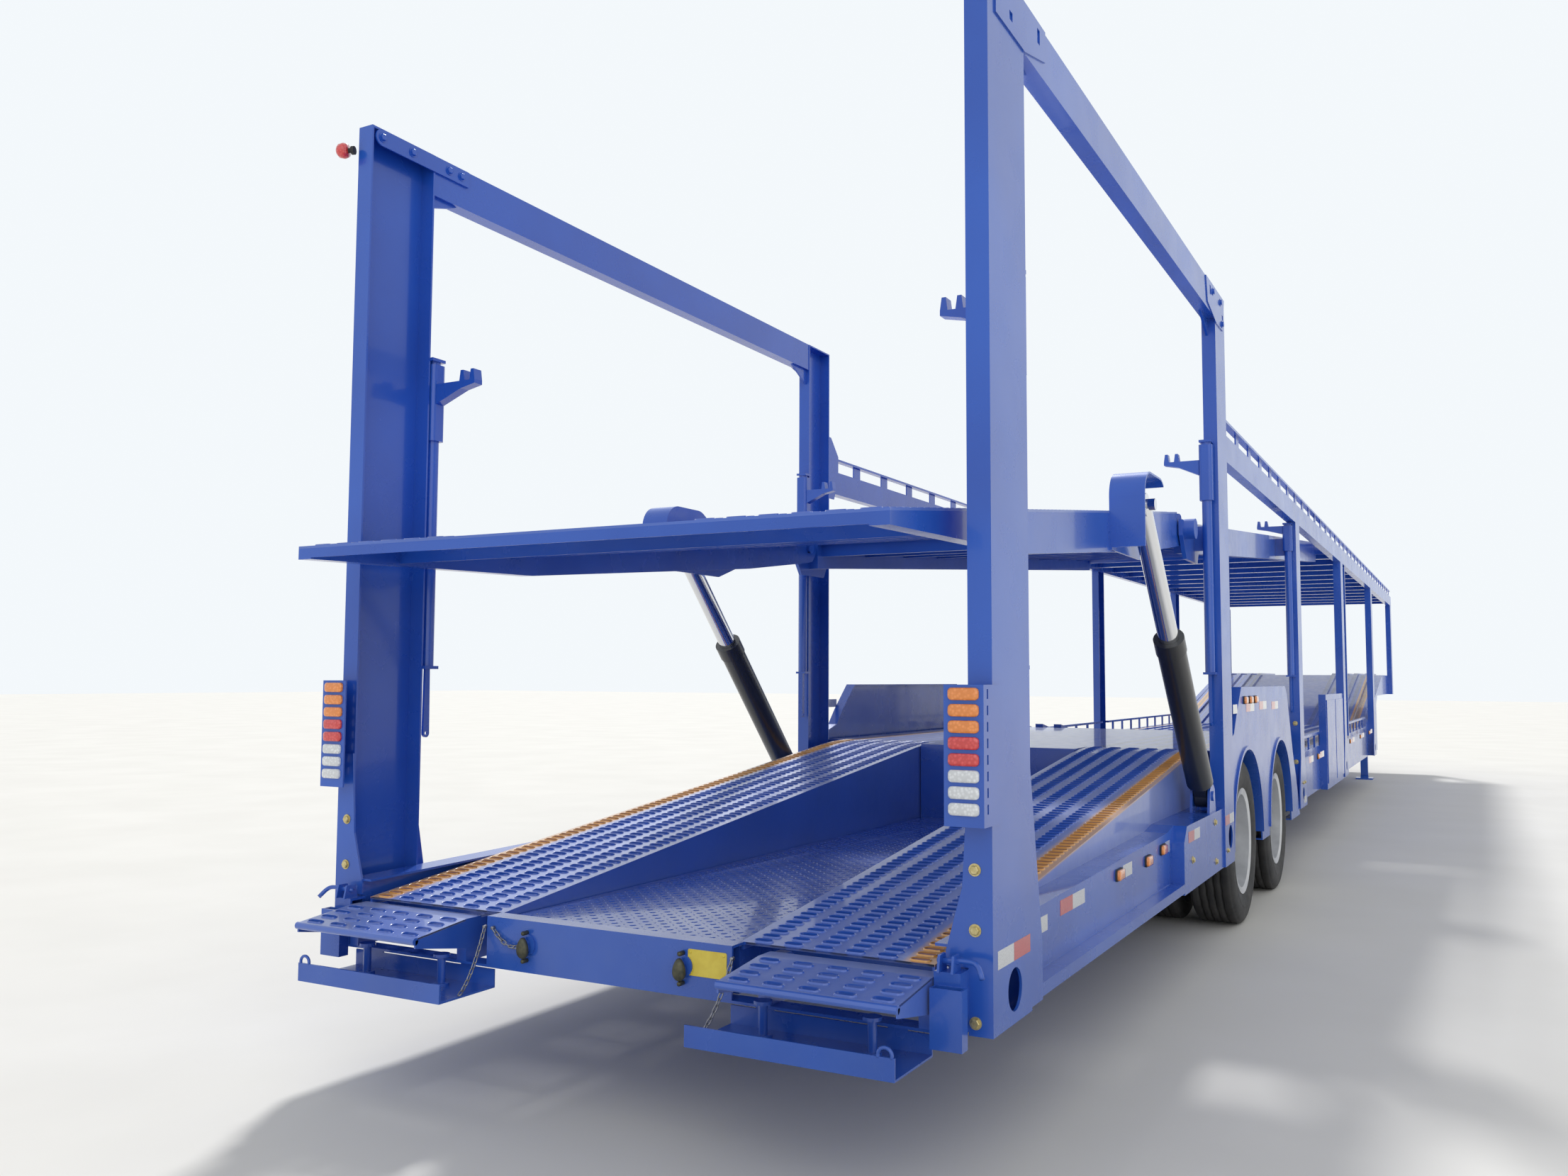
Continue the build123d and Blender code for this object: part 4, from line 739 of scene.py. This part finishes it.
# Tail lamps
# Eight lenses in a column on each panel: three amber, two red, three white. A lens is a rounded rectangle
# whose edge falls away from a gently domed face.
panel_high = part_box("tail_lamps")[1]
LENS_LENGTH = 0.088
LENS_HEIGHT = 0.034
LENS_CORNER = 0.011
LENS_PITCH = 0.044
LENS_THICK = 0.010
LENS_COLOURS = {"amber": (0.80, 0.24, 0.03), "red": (0.62, 0.03, 0.03), "white": (0.66, 0.68, 0.70)}
LENS_ORDER = ["amber"] * 3 + ["red"] * 2 + ["white"] * 3


def rounded_rectangle(length, height, corner, per_corner=5):
    """Points round a rectangle whose corners are quarter-circles."""
    arc = np.radians(np.linspace(0, 90, per_corner))
    quarter = np.column_stack([np.cos(arc), np.sin(arc)]) * corner
    loop = []
    for turn, (sx, sy) in enumerate([(1, 1), (-1, 1), (-1, -1), (1, -1)]):
        c, s = np.cos(turn * np.pi / 2), np.sin(turn * np.pi / 2)
        middle = (sx * (length / 2 - corner), sy * (height / 2 - corner))
        loop.append(quarter @ np.array([(c, s), (-s, c)]) + middle)
    return np.concatenate(loop)


def domed(loop, heights):
    """A loop drawn in by rings of (scale, height), closed by a point in the middle of the last."""
    rings = [np.column_stack([loop * scale, np.full(len(loop), z)]) for scale, z in heights]
    points = np.concatenate(rings + [[(0, 0, heights[-1][1])]])
    faces = grid_faces(len(rings), len(loop), ring=True)
    k = np.arange(len(loop))
    last = (len(rings) - 1) * len(loop)
    tip = np.column_stack([last + k, last + (k + 1) % len(loop), np.full(len(loop), len(points) - 1)])
    return points, faces, tip


def celled(tree, shader, scale, low, high, first, last, height):
    """Relief of small cells, coloured from first in the middle of a cell to last at its edge."""
    cells = tree.nodes.new("ShaderNodeTexVoronoi")
    cells.inputs["Scale"].default_value = scale
    tree.links.new(own_place(tree), cells.inputs["Vector"])
    distance = cells.outputs["Distance"]
    tree.links.new(ramp_between(tree, distance, low, high, first, last), shader.inputs["Base Color"])
    bumped(tree, shader, distance, height)


def lens_material(name, colour):
    """Coloured plastic with a relief of small prism facets, each lighter in its middle by a painted
    highlight.
    """
    material, tree, shader = node_material(name, colour, 0.12, coat=1.0)
    # A painted highlight: a lighter tint in the middle of every facet
    facet_highlight = tuple(min(1, c * 1.25 + 0.05) for c in colour)
    celled(tree, shader, 110, 0.1, 0.6, facet_highlight, colour, 0.0015)
    return material


# Each ring of a lens: its scale and its share of the thickness
LENS_RINGS = [(1, 0), (1, 0.45), (0.95, 0.8), (0.82, 0.95), (0.4, 1)]
heights = [(scale, LENS_THICK * share) for scale, share in LENS_RINGS]
points, quads, tips = domed(rounded_rectangle(LENS_LENGTH, LENS_HEIGHT, LENS_CORNER), heights)
face = panel_high[0]
lens = np.column_stack([face - points[:, 2], points[:, 0], points[:, 1]])
tips = np.column_stack([tips, tips[:, 2]])
centre_y = panel_high[1] - LENS_LENGTH / 2
top_z = panel_high[2] - LENS_HEIGHT / 2
for colour, tone in LENS_COLOURS.items():
    rows = [k for k, c in enumerate(LENS_ORDER) if c == colour]
    places = [(0, sign * centre_y, top_z - k * LENS_PITCH) for sign in (1, -1) for k in rows]
    points, faces = copies(lens, np.concatenate([quads, tips])[:, ::-1], places)
    lens_faces = [tuple(dict.fromkeys(corners)) for corners in faces.tolist()]
    coloured = lens_material(f"{colour}_lens", tone)
    name = f"tail_lenses_{colour}"
    piece = surface(name, points, lens_faces, coloured, "lamp_lens", smooth=True)
    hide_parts("tail_lamps")


# Reflective tapes and side lamps
# Short lengths of red and white retroreflective tape are stuck along both sides, between oblong orange side
# lamps in rubber-backed bases. A round red marker lamp stands off the left rear post's top on a bracket.
POST_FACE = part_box("rear_post_left")[1][1]
BEAM_FACE = POST_FACE - 0.07
PANEL_FACE = POST_FACE - 0.01
TAPE_HEIGHT = 0.05
TAPE_THICK = 0.0008
# Each tape: colour, first and last station, height of its middle, face
TAPES = [
    ("white", 0.030, 0.165, 0.618, POST_FACE),
    ("red", 0.167, 0.312, 0.618, POST_FACE),
    ("white", 0.590, 0.710, 0.605, BEAM_FACE),
    ("red", 0.852, 0.998, 0.625, BEAM_FACE),
    ("white", 0.999, 1.149, 0.625, BEAM_FACE),
    ("white", 1.700, 1.845, 0.633, BEAM_FACE),
    ("white", 2.460, 2.550, 0.640, BEAM_FACE),
    ("red", 2.670, 2.800, 0.665, PANEL_FACE),
    ("white", 2.801, 2.935, 0.665, PANEL_FACE),
    ("red", 3.570, 3.698, 0.655, POST_FACE),
    ("white", 3.699, 3.828, 0.655, POST_FACE),
    ("white", 3.930, 4.070, 1.223, PANEL_FACE),
    ("red", 4.380, 4.530, 1.225, PANEL_FACE),
    ("white", 4.531, 4.680, 1.225, PANEL_FACE),
    ("red", 4.880, 5.030, 1.228, PANEL_FACE),
    ("white", 5.031, 5.180, 1.228, PANEL_FACE),
    ("red", 5.410, 5.560, 1.220, PANEL_FACE),
    ("white", 5.561, 5.710, 1.220, PANEL_FACE),
    ("white", 6.940, 7.090, 0.490, POST_FACE),
]
# Along the front beam the same pair of tapes and one lamp come round again and again
FRONT_PAIRS = [7.40, 8.20, 11.30, 12.60, 13.90]
FRONT_PAIR_HEIGHT = 0.760
for s in FRONT_PAIRS:
    TAPES += [("red", s, s + 0.149, FRONT_PAIR_HEIGHT, PANEL_FACE)]
    TAPES += [("white", s + 0.150, s + 0.299, FRONT_PAIR_HEIGHT, PANEL_FACE)]
TAPE_COLOURS = {"white": (0.74, 0.76, 0.78), "red": (0.62, 0.045, 0.05)}


def tape_material(name, colour):
    """Smooth film over a fine honeycomb of cells that throw light back unevenly."""
    material, tree, shader = node_material(name, colour, 0.25, coat=0.8)
    darker = tuple(0.8 * c for c in colour)
    celled(tree, shader, 260, 0.2, 0.75, colour, darker, 0.0003)
    return material


for colour, tone in TAPE_COLOURS.items():
    parts = []
    for name, s0, s1, middle, face in TAPES:
        if name == colour:
            z0, z1 = middle - TAPE_HEIGHT / 2, middle + TAPE_HEIGHT / 2
            parts.append(block([(s0, z0), (s1, z0), (s1, z1), (s0, z1)], face, face + TAPE_THICK))
    points, faces = both_sides(*parts)
    surface(f"tapes_{colour}", points, faces, tape_material(f"{colour}_tape", tone))

SIDE_LAMP_LENGTH = 0.095
SIDE_LAMP_HEIGHT = 0.040
SIDE_LAMP_DEPTH = 0.016
# Each lamp: station, height, face
SIDE_LAMPS = [(1.630, 0.633, BEAM_FACE), (2.115, 0.626, BEAM_FACE), (2.400, 0.640, BEAM_FACE)]
SIDE_LAMPS += [(s, 1.268, PANEL_FACE) for s in (4.33, 4.52, 4.71)]
SIDE_LAMPS += [(s, FRONT_PAIR_HEIGHT, PANEL_FACE) for s in (8.0, 11.0, 12.3, 13.6)]


def dome_quads(loop, heights):
    """A loop of points carried through rings of (scale, height), closed across the first and the last."""
    rings = [np.column_stack([loop * scale, np.full(len(loop), z)]) for scale, z in heights]
    return np.concatenate(rings), tube_faces(len(rings), len(loop))


def on_side(points, faces, place):
    """A shape drawn as (along, up, out) set on a side face at (station, height, width)."""
    s, z, y = place
    return np.column_stack([REAR + s + points[:, 0], y + points[:, 2], z + points[:, 1]]), faces[:, ::-1]


loop = rounded_rectangle(SIDE_LAMP_LENGTH, SIDE_LAMP_HEIGHT, 0.012, 4)
base_rings = [(1, 0), (1, SIDE_LAMP_DEPTH * 0.35), (0.97, SIDE_LAMP_DEPTH * 0.45)]
lens_rings = [(1, 0.001), (1, SIDE_LAMP_DEPTH * 0.7)]
lens_rings += [(0.94, SIDE_LAMP_DEPTH), (0.6, SIDE_LAMP_DEPTH * 1.12)]
back = dome_quads(loop * (1.06, 1.14), base_rings)
lens = dome_quads(loop, lens_rings)
bases = both_sides(*(on_side(*back, place) for place in SIDE_LAMPS))
surface("side_lamp_bases", *bases, rubber, "tyre")
lenses = both_sides(*(on_side(*lens, place) for place in SIDE_LAMPS))
amber = bpy.data.materials["amber_lens"]
surface("side_lamp_lenses", *lenses, amber, "lamp_lens", smooth=True)

marker_at = np.array([REAR - 0.02, POST_FACE, 3.365])
MARKER_TOWARD = (-0.4, 1, 0)
stalk = [(0, 0.016), (0.012, 0.016), (0.012, 0.009), (0.03, 0.009)]
surface("marker_bracket", *lathed(stalk, marker_at, MARKER_TOWARD), rubber, "tyre")
bulb = [(0.024, 0.008), (0.026, 0.024), (0.040, 0.030), (0.058, 0.027), (0.068, 0.017), (0.072, 0.006)]
red_lens = bpy.data.materials["red_lens"]
marker = lathed(bulb, marker_at, MARKER_TOWARD, 16)
surface("marker_lamp", *marker, red_lens, "lamp_lens", smooth=True)


# Bolts and nuts
# Hexagon bolts, passivated to a dull yellow, show on the rear posts' feet, on the second posts and their
# base boxes, and on the third posts. Ten nuts on studs hold each pair of wheels to its hub.
zinc, tree, shader = node_material("yellow_zinc", (0.62, 0.50, 0.22), 0.4, metallic=0.7)
mottled(tree, shader, 90.0, 4.0, 0.3, 0.7, (0.50, 0.40, 0.16), (0.70, 0.60, 0.32))
rough_between(tree, shader, 60.0, 4.0, 0.3, 0.55)
BOLT_R = 0.013
BOLT_HEAD = 0.009
# Places of bolts, as heights or as (station, height)
FOOT_BOLTS = (0.863, 0.701, 0.455)
BASE_BOX_BOLTS = ((2.753, 0.556), (3.341, 0.477), (3.326, 0.672))
THIRD_POST = 6.81
THIRD_POST_BOLTS = (1.064, 0.779)
POST_SIDE_BOLTS = ((6.90, 0.62), (7.0, 0.62), (3.62, 0.50))


def bolt(at, toward, radius=BOLT_R):
    """A washer under a six-sided head with a chamfered top."""
    washer = lathed([(0, radius * 1.35), (0.0025, radius * 1.35)], at, toward, 16)
    head = [(0.0025, radius), (BOLT_HEAD, radius), (BOLT_HEAD * 1.2, radius * 0.82)]
    return joined(washer, lathed(head, at, toward, 6))


bolts = [bolt((REAR - 0.008, 1.20, z), (-1, 0, 0)) for z in FOOT_BOLTS]
bolts += [bolt((REAR + s, PANEL_FACE, z), (0, 1, 0)) for s, z in BASE_BOX_BOLTS]
bolts += [bolt((REAR + THIRD_POST, 1.215, z), (-1, 0, 0)) for z in THIRD_POST_BOLTS]
bolts += [bolt((REAR + s, POST_FACE, z), (0, 1, 0), 0.010) for s, z in POST_SIDE_BOLTS]
surface("yellow_bolts", *both_sides(*bolts), zinc)

# Bolts of the top beams' splice plates and of the second posts' gussets are painted over with the frame
GUSSET_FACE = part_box("top_beam_left")[1][1]
GUSSET_BOLTS = ((3.48, 3.42), (3.70, 3.42), (3.74, 3.31))
SPLICE_BOLTS = (0.046, 0.20, 0.40, 0.47)
splice_bolts = [bolt((REAR + s, 1.174, 3.424), (0, -1, 0), 0.014) for s in SPLICE_BOLTS]
splice_bolts += [bolt((REAR + s, GUSSET_FACE, z), (0, 1, 0), 0.015) for s, z in GUSSET_BOLTS]
surface("splice_bolts", *both_sides(*splice_bolts), blue)

NUTS = 10
NUT_CIRCLE = 0.172
NUT_R = 0.0155
NUT_SEAT = 0.014
nut = [(0, NUT_R), (0.020, NUT_R), (0.023, NUT_R * 0.85)]
stud = [(0.020, 0.010), (0.034, 0.010), (0.036, 0.008)]
washer = [(-0.001, 0.021), (0.004, 0.021)]
for twin in TWINS:
    x, y, z = middle_of(f"tyres_{twin}")
    sign = 1 if twin.endswith("left") else -1
    parts = []
    for k in range(NUTS):
        turn_by = (k + 0.5) * 2 * np.pi / NUTS
        out, rise = NUT_CIRCLE * np.cos(turn_by), NUT_CIRCLE * np.sin(turn_by)
        at = (x + out, y + sign * NUT_SEAT, z + rise)
        for profile, sides in ((nut, 6), (stud, 8), (washer, 12)):
            parts.append(lathed(profile, at, (0, sign, 0), sides))
    points, faces = joined(*parts)
    surface(f"wheel_nuts_{twin}", points, faces, silver, "rim_steel", f"twin_wheel_{twin}")


# Plate, chains and hooks
# A blank yellow plate is riveted to the cross-beam. Beside it, and again on the left, a short chain runs
# from the beam to the lower channel, and each channel's outer end carries a bent round eye for a hook.
PLATE_CENTRE = (-0.385, 0.533)
PLATE_SIZE = (0.136, 0.078)
PLATE_CORNER = 0.006
RIVET_OUT = 0.058
RIVET_UP = 0.029
yellow, tree, shader = node_material("yellow_plate", (0.80, 0.62, 0.05), 0.35, coat=0.5)
mottled(tree, shader, 30.0, 5.0, 0.3, 0.7, (0.70, 0.52, 0.04), (0.82, 0.66, 0.07))
rough_between(tree, shader, 50.0, 5.0, 0.28, 0.5)
BEAM_BACK_FACE = REAR - 0.07


def on_rear(points, faces, x, centre):
    """A shape drawn as (across, up, out) set on a face that looks backward, round (width, height)."""
    y, z = centre
    return np.column_stack([x - points[:, 2], y + points[:, 0], z + points[:, 1]]), faces[:, ::-1]


loop = rounded_rectangle(*PLATE_SIZE, PLATE_CORNER, 5)
plate = dome_quads(loop, [(1, 0), (1, 0.0015), (0.985, 0.002), (0.955, 0.002), (0.945, 0.0012)])
rivet = [(0, 0.004), (0.003, 0.0035), (0.004, 0.0015)]
rivets = [
    lathed(rivet, (BEAM_BACK_FACE, PLATE_CENTRE[0] + dy, PLATE_CENTRE[1] + dz), (-1, 0, 0), 8)
    for dy in (-RIVET_OUT, RIVET_OUT)
    for dz in (-RIVET_UP, RIVET_UP)
]
points, faces = joined(on_rear(*plate, BEAM_BACK_FACE, PLATE_CENTRE), *rivets)
surface("blank_plate", points, faces, yellow)

LINK_PITCH = 0.019
LINK_WIRE = 0.0022
LINK_BEND = 0.006


def link_of_chain(at, along, turned_by):
    """A six-sided wire carried round a pill, which is two half-circles joined by straights."""
    angle = np.arange(12) * np.pi / 6
    wire = np.arange(6) * np.pi / 3
    straight = np.sign(np.cos(angle)) * (LINK_PITCH / 2 + LINK_WIRE - LINK_BEND)
    line = np.column_stack([np.cos(angle) * LINK_BEND + straight, np.sin(angle) * LINK_BEND])
    away = np.column_stack([np.cos(angle), np.sin(angle)])
    along = along / np.linalg.norm(along)
    side = np.cross(along, (0, 1, 0))
    side /= np.linalg.norm(side)
    other = np.cross(along, side)
    c, s = np.cos(turned_by), np.sin(turned_by)
    side, other = side * c + other * s, other * c - side * s
    flat = line[:, None] + away[:, None] * (np.cos(wire) * LINK_WIRE)[None, :, None]
    points = at + flat[..., :1] * along + flat[..., 1:] * side
    points = points + (np.sin(wire) * LINK_WIRE)[None, :, None] * other
    points = np.concatenate([points, points[:1]])
    return welded(points.reshape(-1, 3), grid_faces(13, 6, ring=True)[:, ::-1])


def chain(start, end, sag):
    """Links laid end to end on a parabola that hangs between two ends, every other one turned."""
    start, end = np.asarray(start, float), np.asarray(end, float)
    t = np.linspace(0, 1, 200)
    line = start + t[:, None] * (end - start) - np.outer(4 * sag * t * (1 - t), (0, 0, 1))
    reach = np.concatenate([[0], np.cumsum(np.linalg.norm(np.diff(line, axis=0), axis=1))])
    count = int(reach[-1] / LINK_PITCH)
    at = (np.arange(count) + 0.5) * reach[-1] / count

    def place(reached):
        """The points of the line at some distances along it."""
        return np.column_stack([np.interp(reached, reach, line[:, k]) for k in range(3)])

    links = enumerate(zip(place(at), place(at + 0.004) - place(at - 0.004)))
    return joined(*(link_of_chain(middle, along, k % 2 * np.pi / 2) for k, (middle, along) in links))


eyelet = [(0, 0.006), (0.012, 0.006), (0.013, 0.004)]


def hung_chain(start, end, sag):
    """A chain and the eyelet that it hangs from, on the beam's rear face."""
    return joined(chain(start, end, sag), lathed(eyelet, (BEAM_BACK_FACE, *start[1:]), (-1, 0, 0), 8))


CHAIN_TOP = (BEAM_BACK_FACE - 0.006, 0.475, 0.560)
CHAIN_FOOT = (REAR - 0.215, 0.452, 0.372)
CATCH_CHAIN = (BEAM_BACK_FACE - 0.006, 0.440, 0.560), (BEAM_BACK_FACE - 0.024, 0.305, 0.520)
long_chains = both_sides(hung_chain(CHAIN_TOP, CHAIN_FOOT, 0.03))
points, faces = joined(long_chains, hung_chain(*CATCH_CHAIN, 0.025))
surface("chains", points, faces, bare, "bare_steel", smooth=True)

# Each catch is a cast drop of dark bronze with a pin head above and below it
CATCH_AT = (0.300, 0.512)
CATCH_FACE = REAR - 0.092
cast, tree, shader = node_material("cast_bronze", (0.075, 0.075, 0.05), 0.45, metallic=0.4)
mottled(tree, shader, 70.0, 6.0, 0.3, 0.7, (0.045, 0.050, 0.040), (0.120, 0.115, 0.070))
rough_between(tree, shader, 50.0, 5.0, 0.35, 0.6)
angle = np.arange(16) * np.pi / 8
drop = np.column_stack([np.cos(angle) * (0.021 - 0.005 * np.sin(angle)), np.sin(angle) * 0.033])
shell = dome_quads(drop, [(1, -0.004), (1.04, 0.003), (0.94, 0.008), (0.72, 0.012), (0.4, 0.014)])
pin_head = [(0, 0.007), (0.024, 0.007), (0.027, 0.004)]
heads = [
    lathed(pin_head, (BEAM_BACK_FACE, CATCH_AT[0], CATCH_AT[1] + dz), (-1, 0, 0), 10)
    for dz in (-0.042, 0.046)
]
points, faces = both_sides(on_rear(*shell, CATCH_FACE, CATCH_AT), *heads)
surface("catch_shells", points, faces, cast, smooth=True)


def bent_rod(corners, radius, sides=10, steps=6):
    """A round bar through given corners, each rounded by a curve through its neighbours' middles."""
    middles = (corners[:-1] + corners[1:]) / 2
    t = np.linspace(0, 1, steps, endpoint=False)[:, None]
    line = [corners[:1]]
    for a, b, c in zip(middles[:-1], corners[1:-1], middles[1:]):
        line.append((1 - t) ** 2 * a + 2 * t * (1 - t) * b + t**2 * c)
    line = np.concatenate(line + [middles[-1:], corners[-1:]])
    ahead = np.gradient(line, axis=0)
    ahead /= np.linalg.norm(ahead, axis=1, keepdims=True)
    side = np.cross(ahead, (0.13, 0.21, 0.97))
    side /= np.linalg.norm(side, axis=1, keepdims=True)
    other = np.cross(ahead, side)
    angle = np.arange(sides) * 2 * np.pi / sides
    ring = np.cos(angle)[None, :, None] * side[:, None] + np.sin(angle)[None, :, None] * other[:, None]
    points = line[:, None] + radius * ring
    return points.reshape(-1, 3), tube_faces(len(line), sides)


EYE_AT = (REAR - 0.297, 1.062, 0.424)
EYE_R = 0.020
EYE_WIRE = 0.005
arc = np.radians(np.arange(-20, 201, 20))
y, z = EYE_AT[1] + EYE_R * np.cos(arc), EYE_AT[2] + EYE_R * np.sin(arc)
eye = np.column_stack([np.full_like(arc, EYE_AT[0]), y, z])
surface("channel_eyes", *both_sides(bent_rod(eye, EYE_WIRE)), blue, smooth=True)


# Ramp latches
# On each corner block two lugs carry a cross pin whose end is drawn out into a bent handle. All of it is
# painted over in blue with the beam.
LUG_TOP = 0.640
BLOCK_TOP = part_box("rear_cross_beam")[1][2]
LUG_FORM = [(-0.085, BLOCK_TOP), (-0.025, BLOCK_TOP), (-0.035, LUG_TOP), (-0.075, LUG_TOP)]
LUG_THICK = 0.007
PIN_R = 0.007
PIN_LENGTH = 0.062
HANDLE_R = 0.0075
HANDLE = [(-0.055, 1.110, 0.622), (-0.055, 1.200, 0.628), (-0.062, 1.228, 0.622), (-0.085, 1.246, 0.592)]
handle = np.array(HANDLE) + (REAR, 0, 0)
lugs = [block(LUG_FORM, y, y + LUG_THICK) for y in (1.118, 1.158)]
pin = lathed([(0, PIN_R), (PIN_LENGTH, PIN_R)], handle[0], (0, 1, 0))
surface("latch_lugs", *both_sides(*lugs, pin), blue)
surface("latch_handles", *both_sides(bent_rod(handle, HANDLE_R)), blue, smooth=True)


# Weld beads and pivot bushes
# A row of weld beads joins each side panel to its bottom flange. On both sides a bronze bush shows at the
# platform's pivot.
BEAD_PITCH = 0.011
BEAD_R = 0.0035
BEAD_HEIGHT = 0.4705
SEAM_FROM, SEAM_TO = 0.345, 2.55
hump = [(-0.001, BEAD_R * 1.5), (0.001, BEAD_R * 1.3), (0.0022, BEAD_R * 0.6)]
bead = lathed(hump, (0, 0, 0), (0, 1, 1), 6)
along = np.arange(SEAM_FROM, SEAM_TO, BEAD_PITCH)
places = np.column_stack([REAR + along, np.full_like(along, BEAM_FACE), np.full_like(along, BEAD_HEIGHT)])
surface("weld_beads", *both_sides(copies(*bead, places)), blue)

bronze, tree, shader = node_material("bush_bronze", (0.50, 0.33, 0.17), 0.4, metallic=0.6)
mottled(tree, shader, 45.0, 5.0, 0.3, 0.7, (0.40, 0.26, 0.13), (0.62, 0.44, 0.25))
PIVOT_AT = (REAR + 3.300, 1.120, 2.150)
bush = [(0, 0.034), (0.052, 0.034), (0.056, 0.031), (0.056, 0.022), (0.046, 0.020)]
bushes = both_sides(lathed(bush, PIVOT_AT, (0, 1, 0), 28))
surface("pivot_bushes", *bushes, bronze, "bare_steel", "platform")


# Pierced decks further forward
# The deck over the axles, the front deck and the upper decks carry the same pierced trackways. Their holes
# are drawn here as pills of painted shade with a raised rim, in the same rows and pitch as on the ramps.
# Near-black painted shade that stands for the dark seen through each hole
HOLE_SHADE = (0.004, 0.009, 0.03)
FACING_UP = 0.7


def pierced_enamel(name, orange_row):
    """Blue enamel with pills drawn on it, their holes filled with painted shade. The distance to the
    nearest pill's middle line says whether a place lies in its hole, on its rim or on the sheet."""
    material, tree, shader = node_material(name, BLUE, 0.3, coat=0.5)

    def step(operation, *values):
        """One step of arithmetic in this material."""
        return worked(tree, operation, *values)

    place = tree.nodes.new("ShaderNodeSeparateXYZ")
    tree.links.new(own_place(tree), place.inputs["Vector"])
    x = step("DIVIDE", place.outputs["X"], PITCH)
    x = step("MULTIPLY", step("SUBTRACT", step("FRACT", x), 0.5), PITCH)
    row = step("DIVIDE", step("SUBTRACT", step("ABSOLUTE", place.outputs["Y"]), ROW_FROM), ROW_STEP)
    inside = step("MULTIPLY", step("GREATER_THAN", row, 0.0), step("LESS_THAN", row, float(ROWS)))
    y = step("MULTIPLY", step("SUBTRACT", step("FRACT", row), 0.5), ROW_STEP)
    past = step("SUBTRACT", step("ABSOLUTE", y), (HOLE_LENGTH - HOLE_WIDTH) / 2)
    past = step("MAXIMUM", past, 0.0)
    reach = step("SQRT", step("ADD", step("MULTIPLY", x, x), step("MULTIPLY", past, past)))
    facing = tree.nodes.new("ShaderNodeSeparateXYZ")
    tree.links.new(tree.nodes.new("ShaderNodeNewGeometry").outputs["Normal"], facing.inputs["Vector"])
    flat = step("GREATER_THAN", step("ABSOLUTE", facing.outputs["Z"]), FACING_UP)
    inside = step("MULTIPLY", inside, flat)
    hole = step("MULTIPLY", step("LESS_THAN", reach, HOLE_WIDTH / 2), inside)
    rim = step("LESS_THAN", reach, HOLE_WIDTH / 2 + RIM_WIDTH)
    rim = step("MULTIPLY", step("SUBTRACT", rim, hole), inside)
    sheet = ramp_between(tree, mottle(tree, 2.3, 5.0), 0.3, 0.7, DEEP_BLUE, BLUE)
    if orange_row:
        outermost = step("MULTIPLY", step("GREATER_THAN", row, ROWS - 1.0), inside)
        sheet = blended(tree, outermost, sheet, ORANGE)
    # Each hole is filled with the painted shade colour
    tree.links.new(blended(tree, hole, sheet, HOLE_SHADE), shader.inputs["Base Color"])
    rough_between(tree, shader, 14.0, 6.0, 0.22, 0.46)
    bumped(tree, shader, rim, 0.004)
    return material


for name in ("axle_deck", "front_lower_deck", "upper_mid_deck", "upper_front_deck"):
    paint(name, pierced_enamel(f"pierced_{name}", orange_row=not name.startswith("upper")))
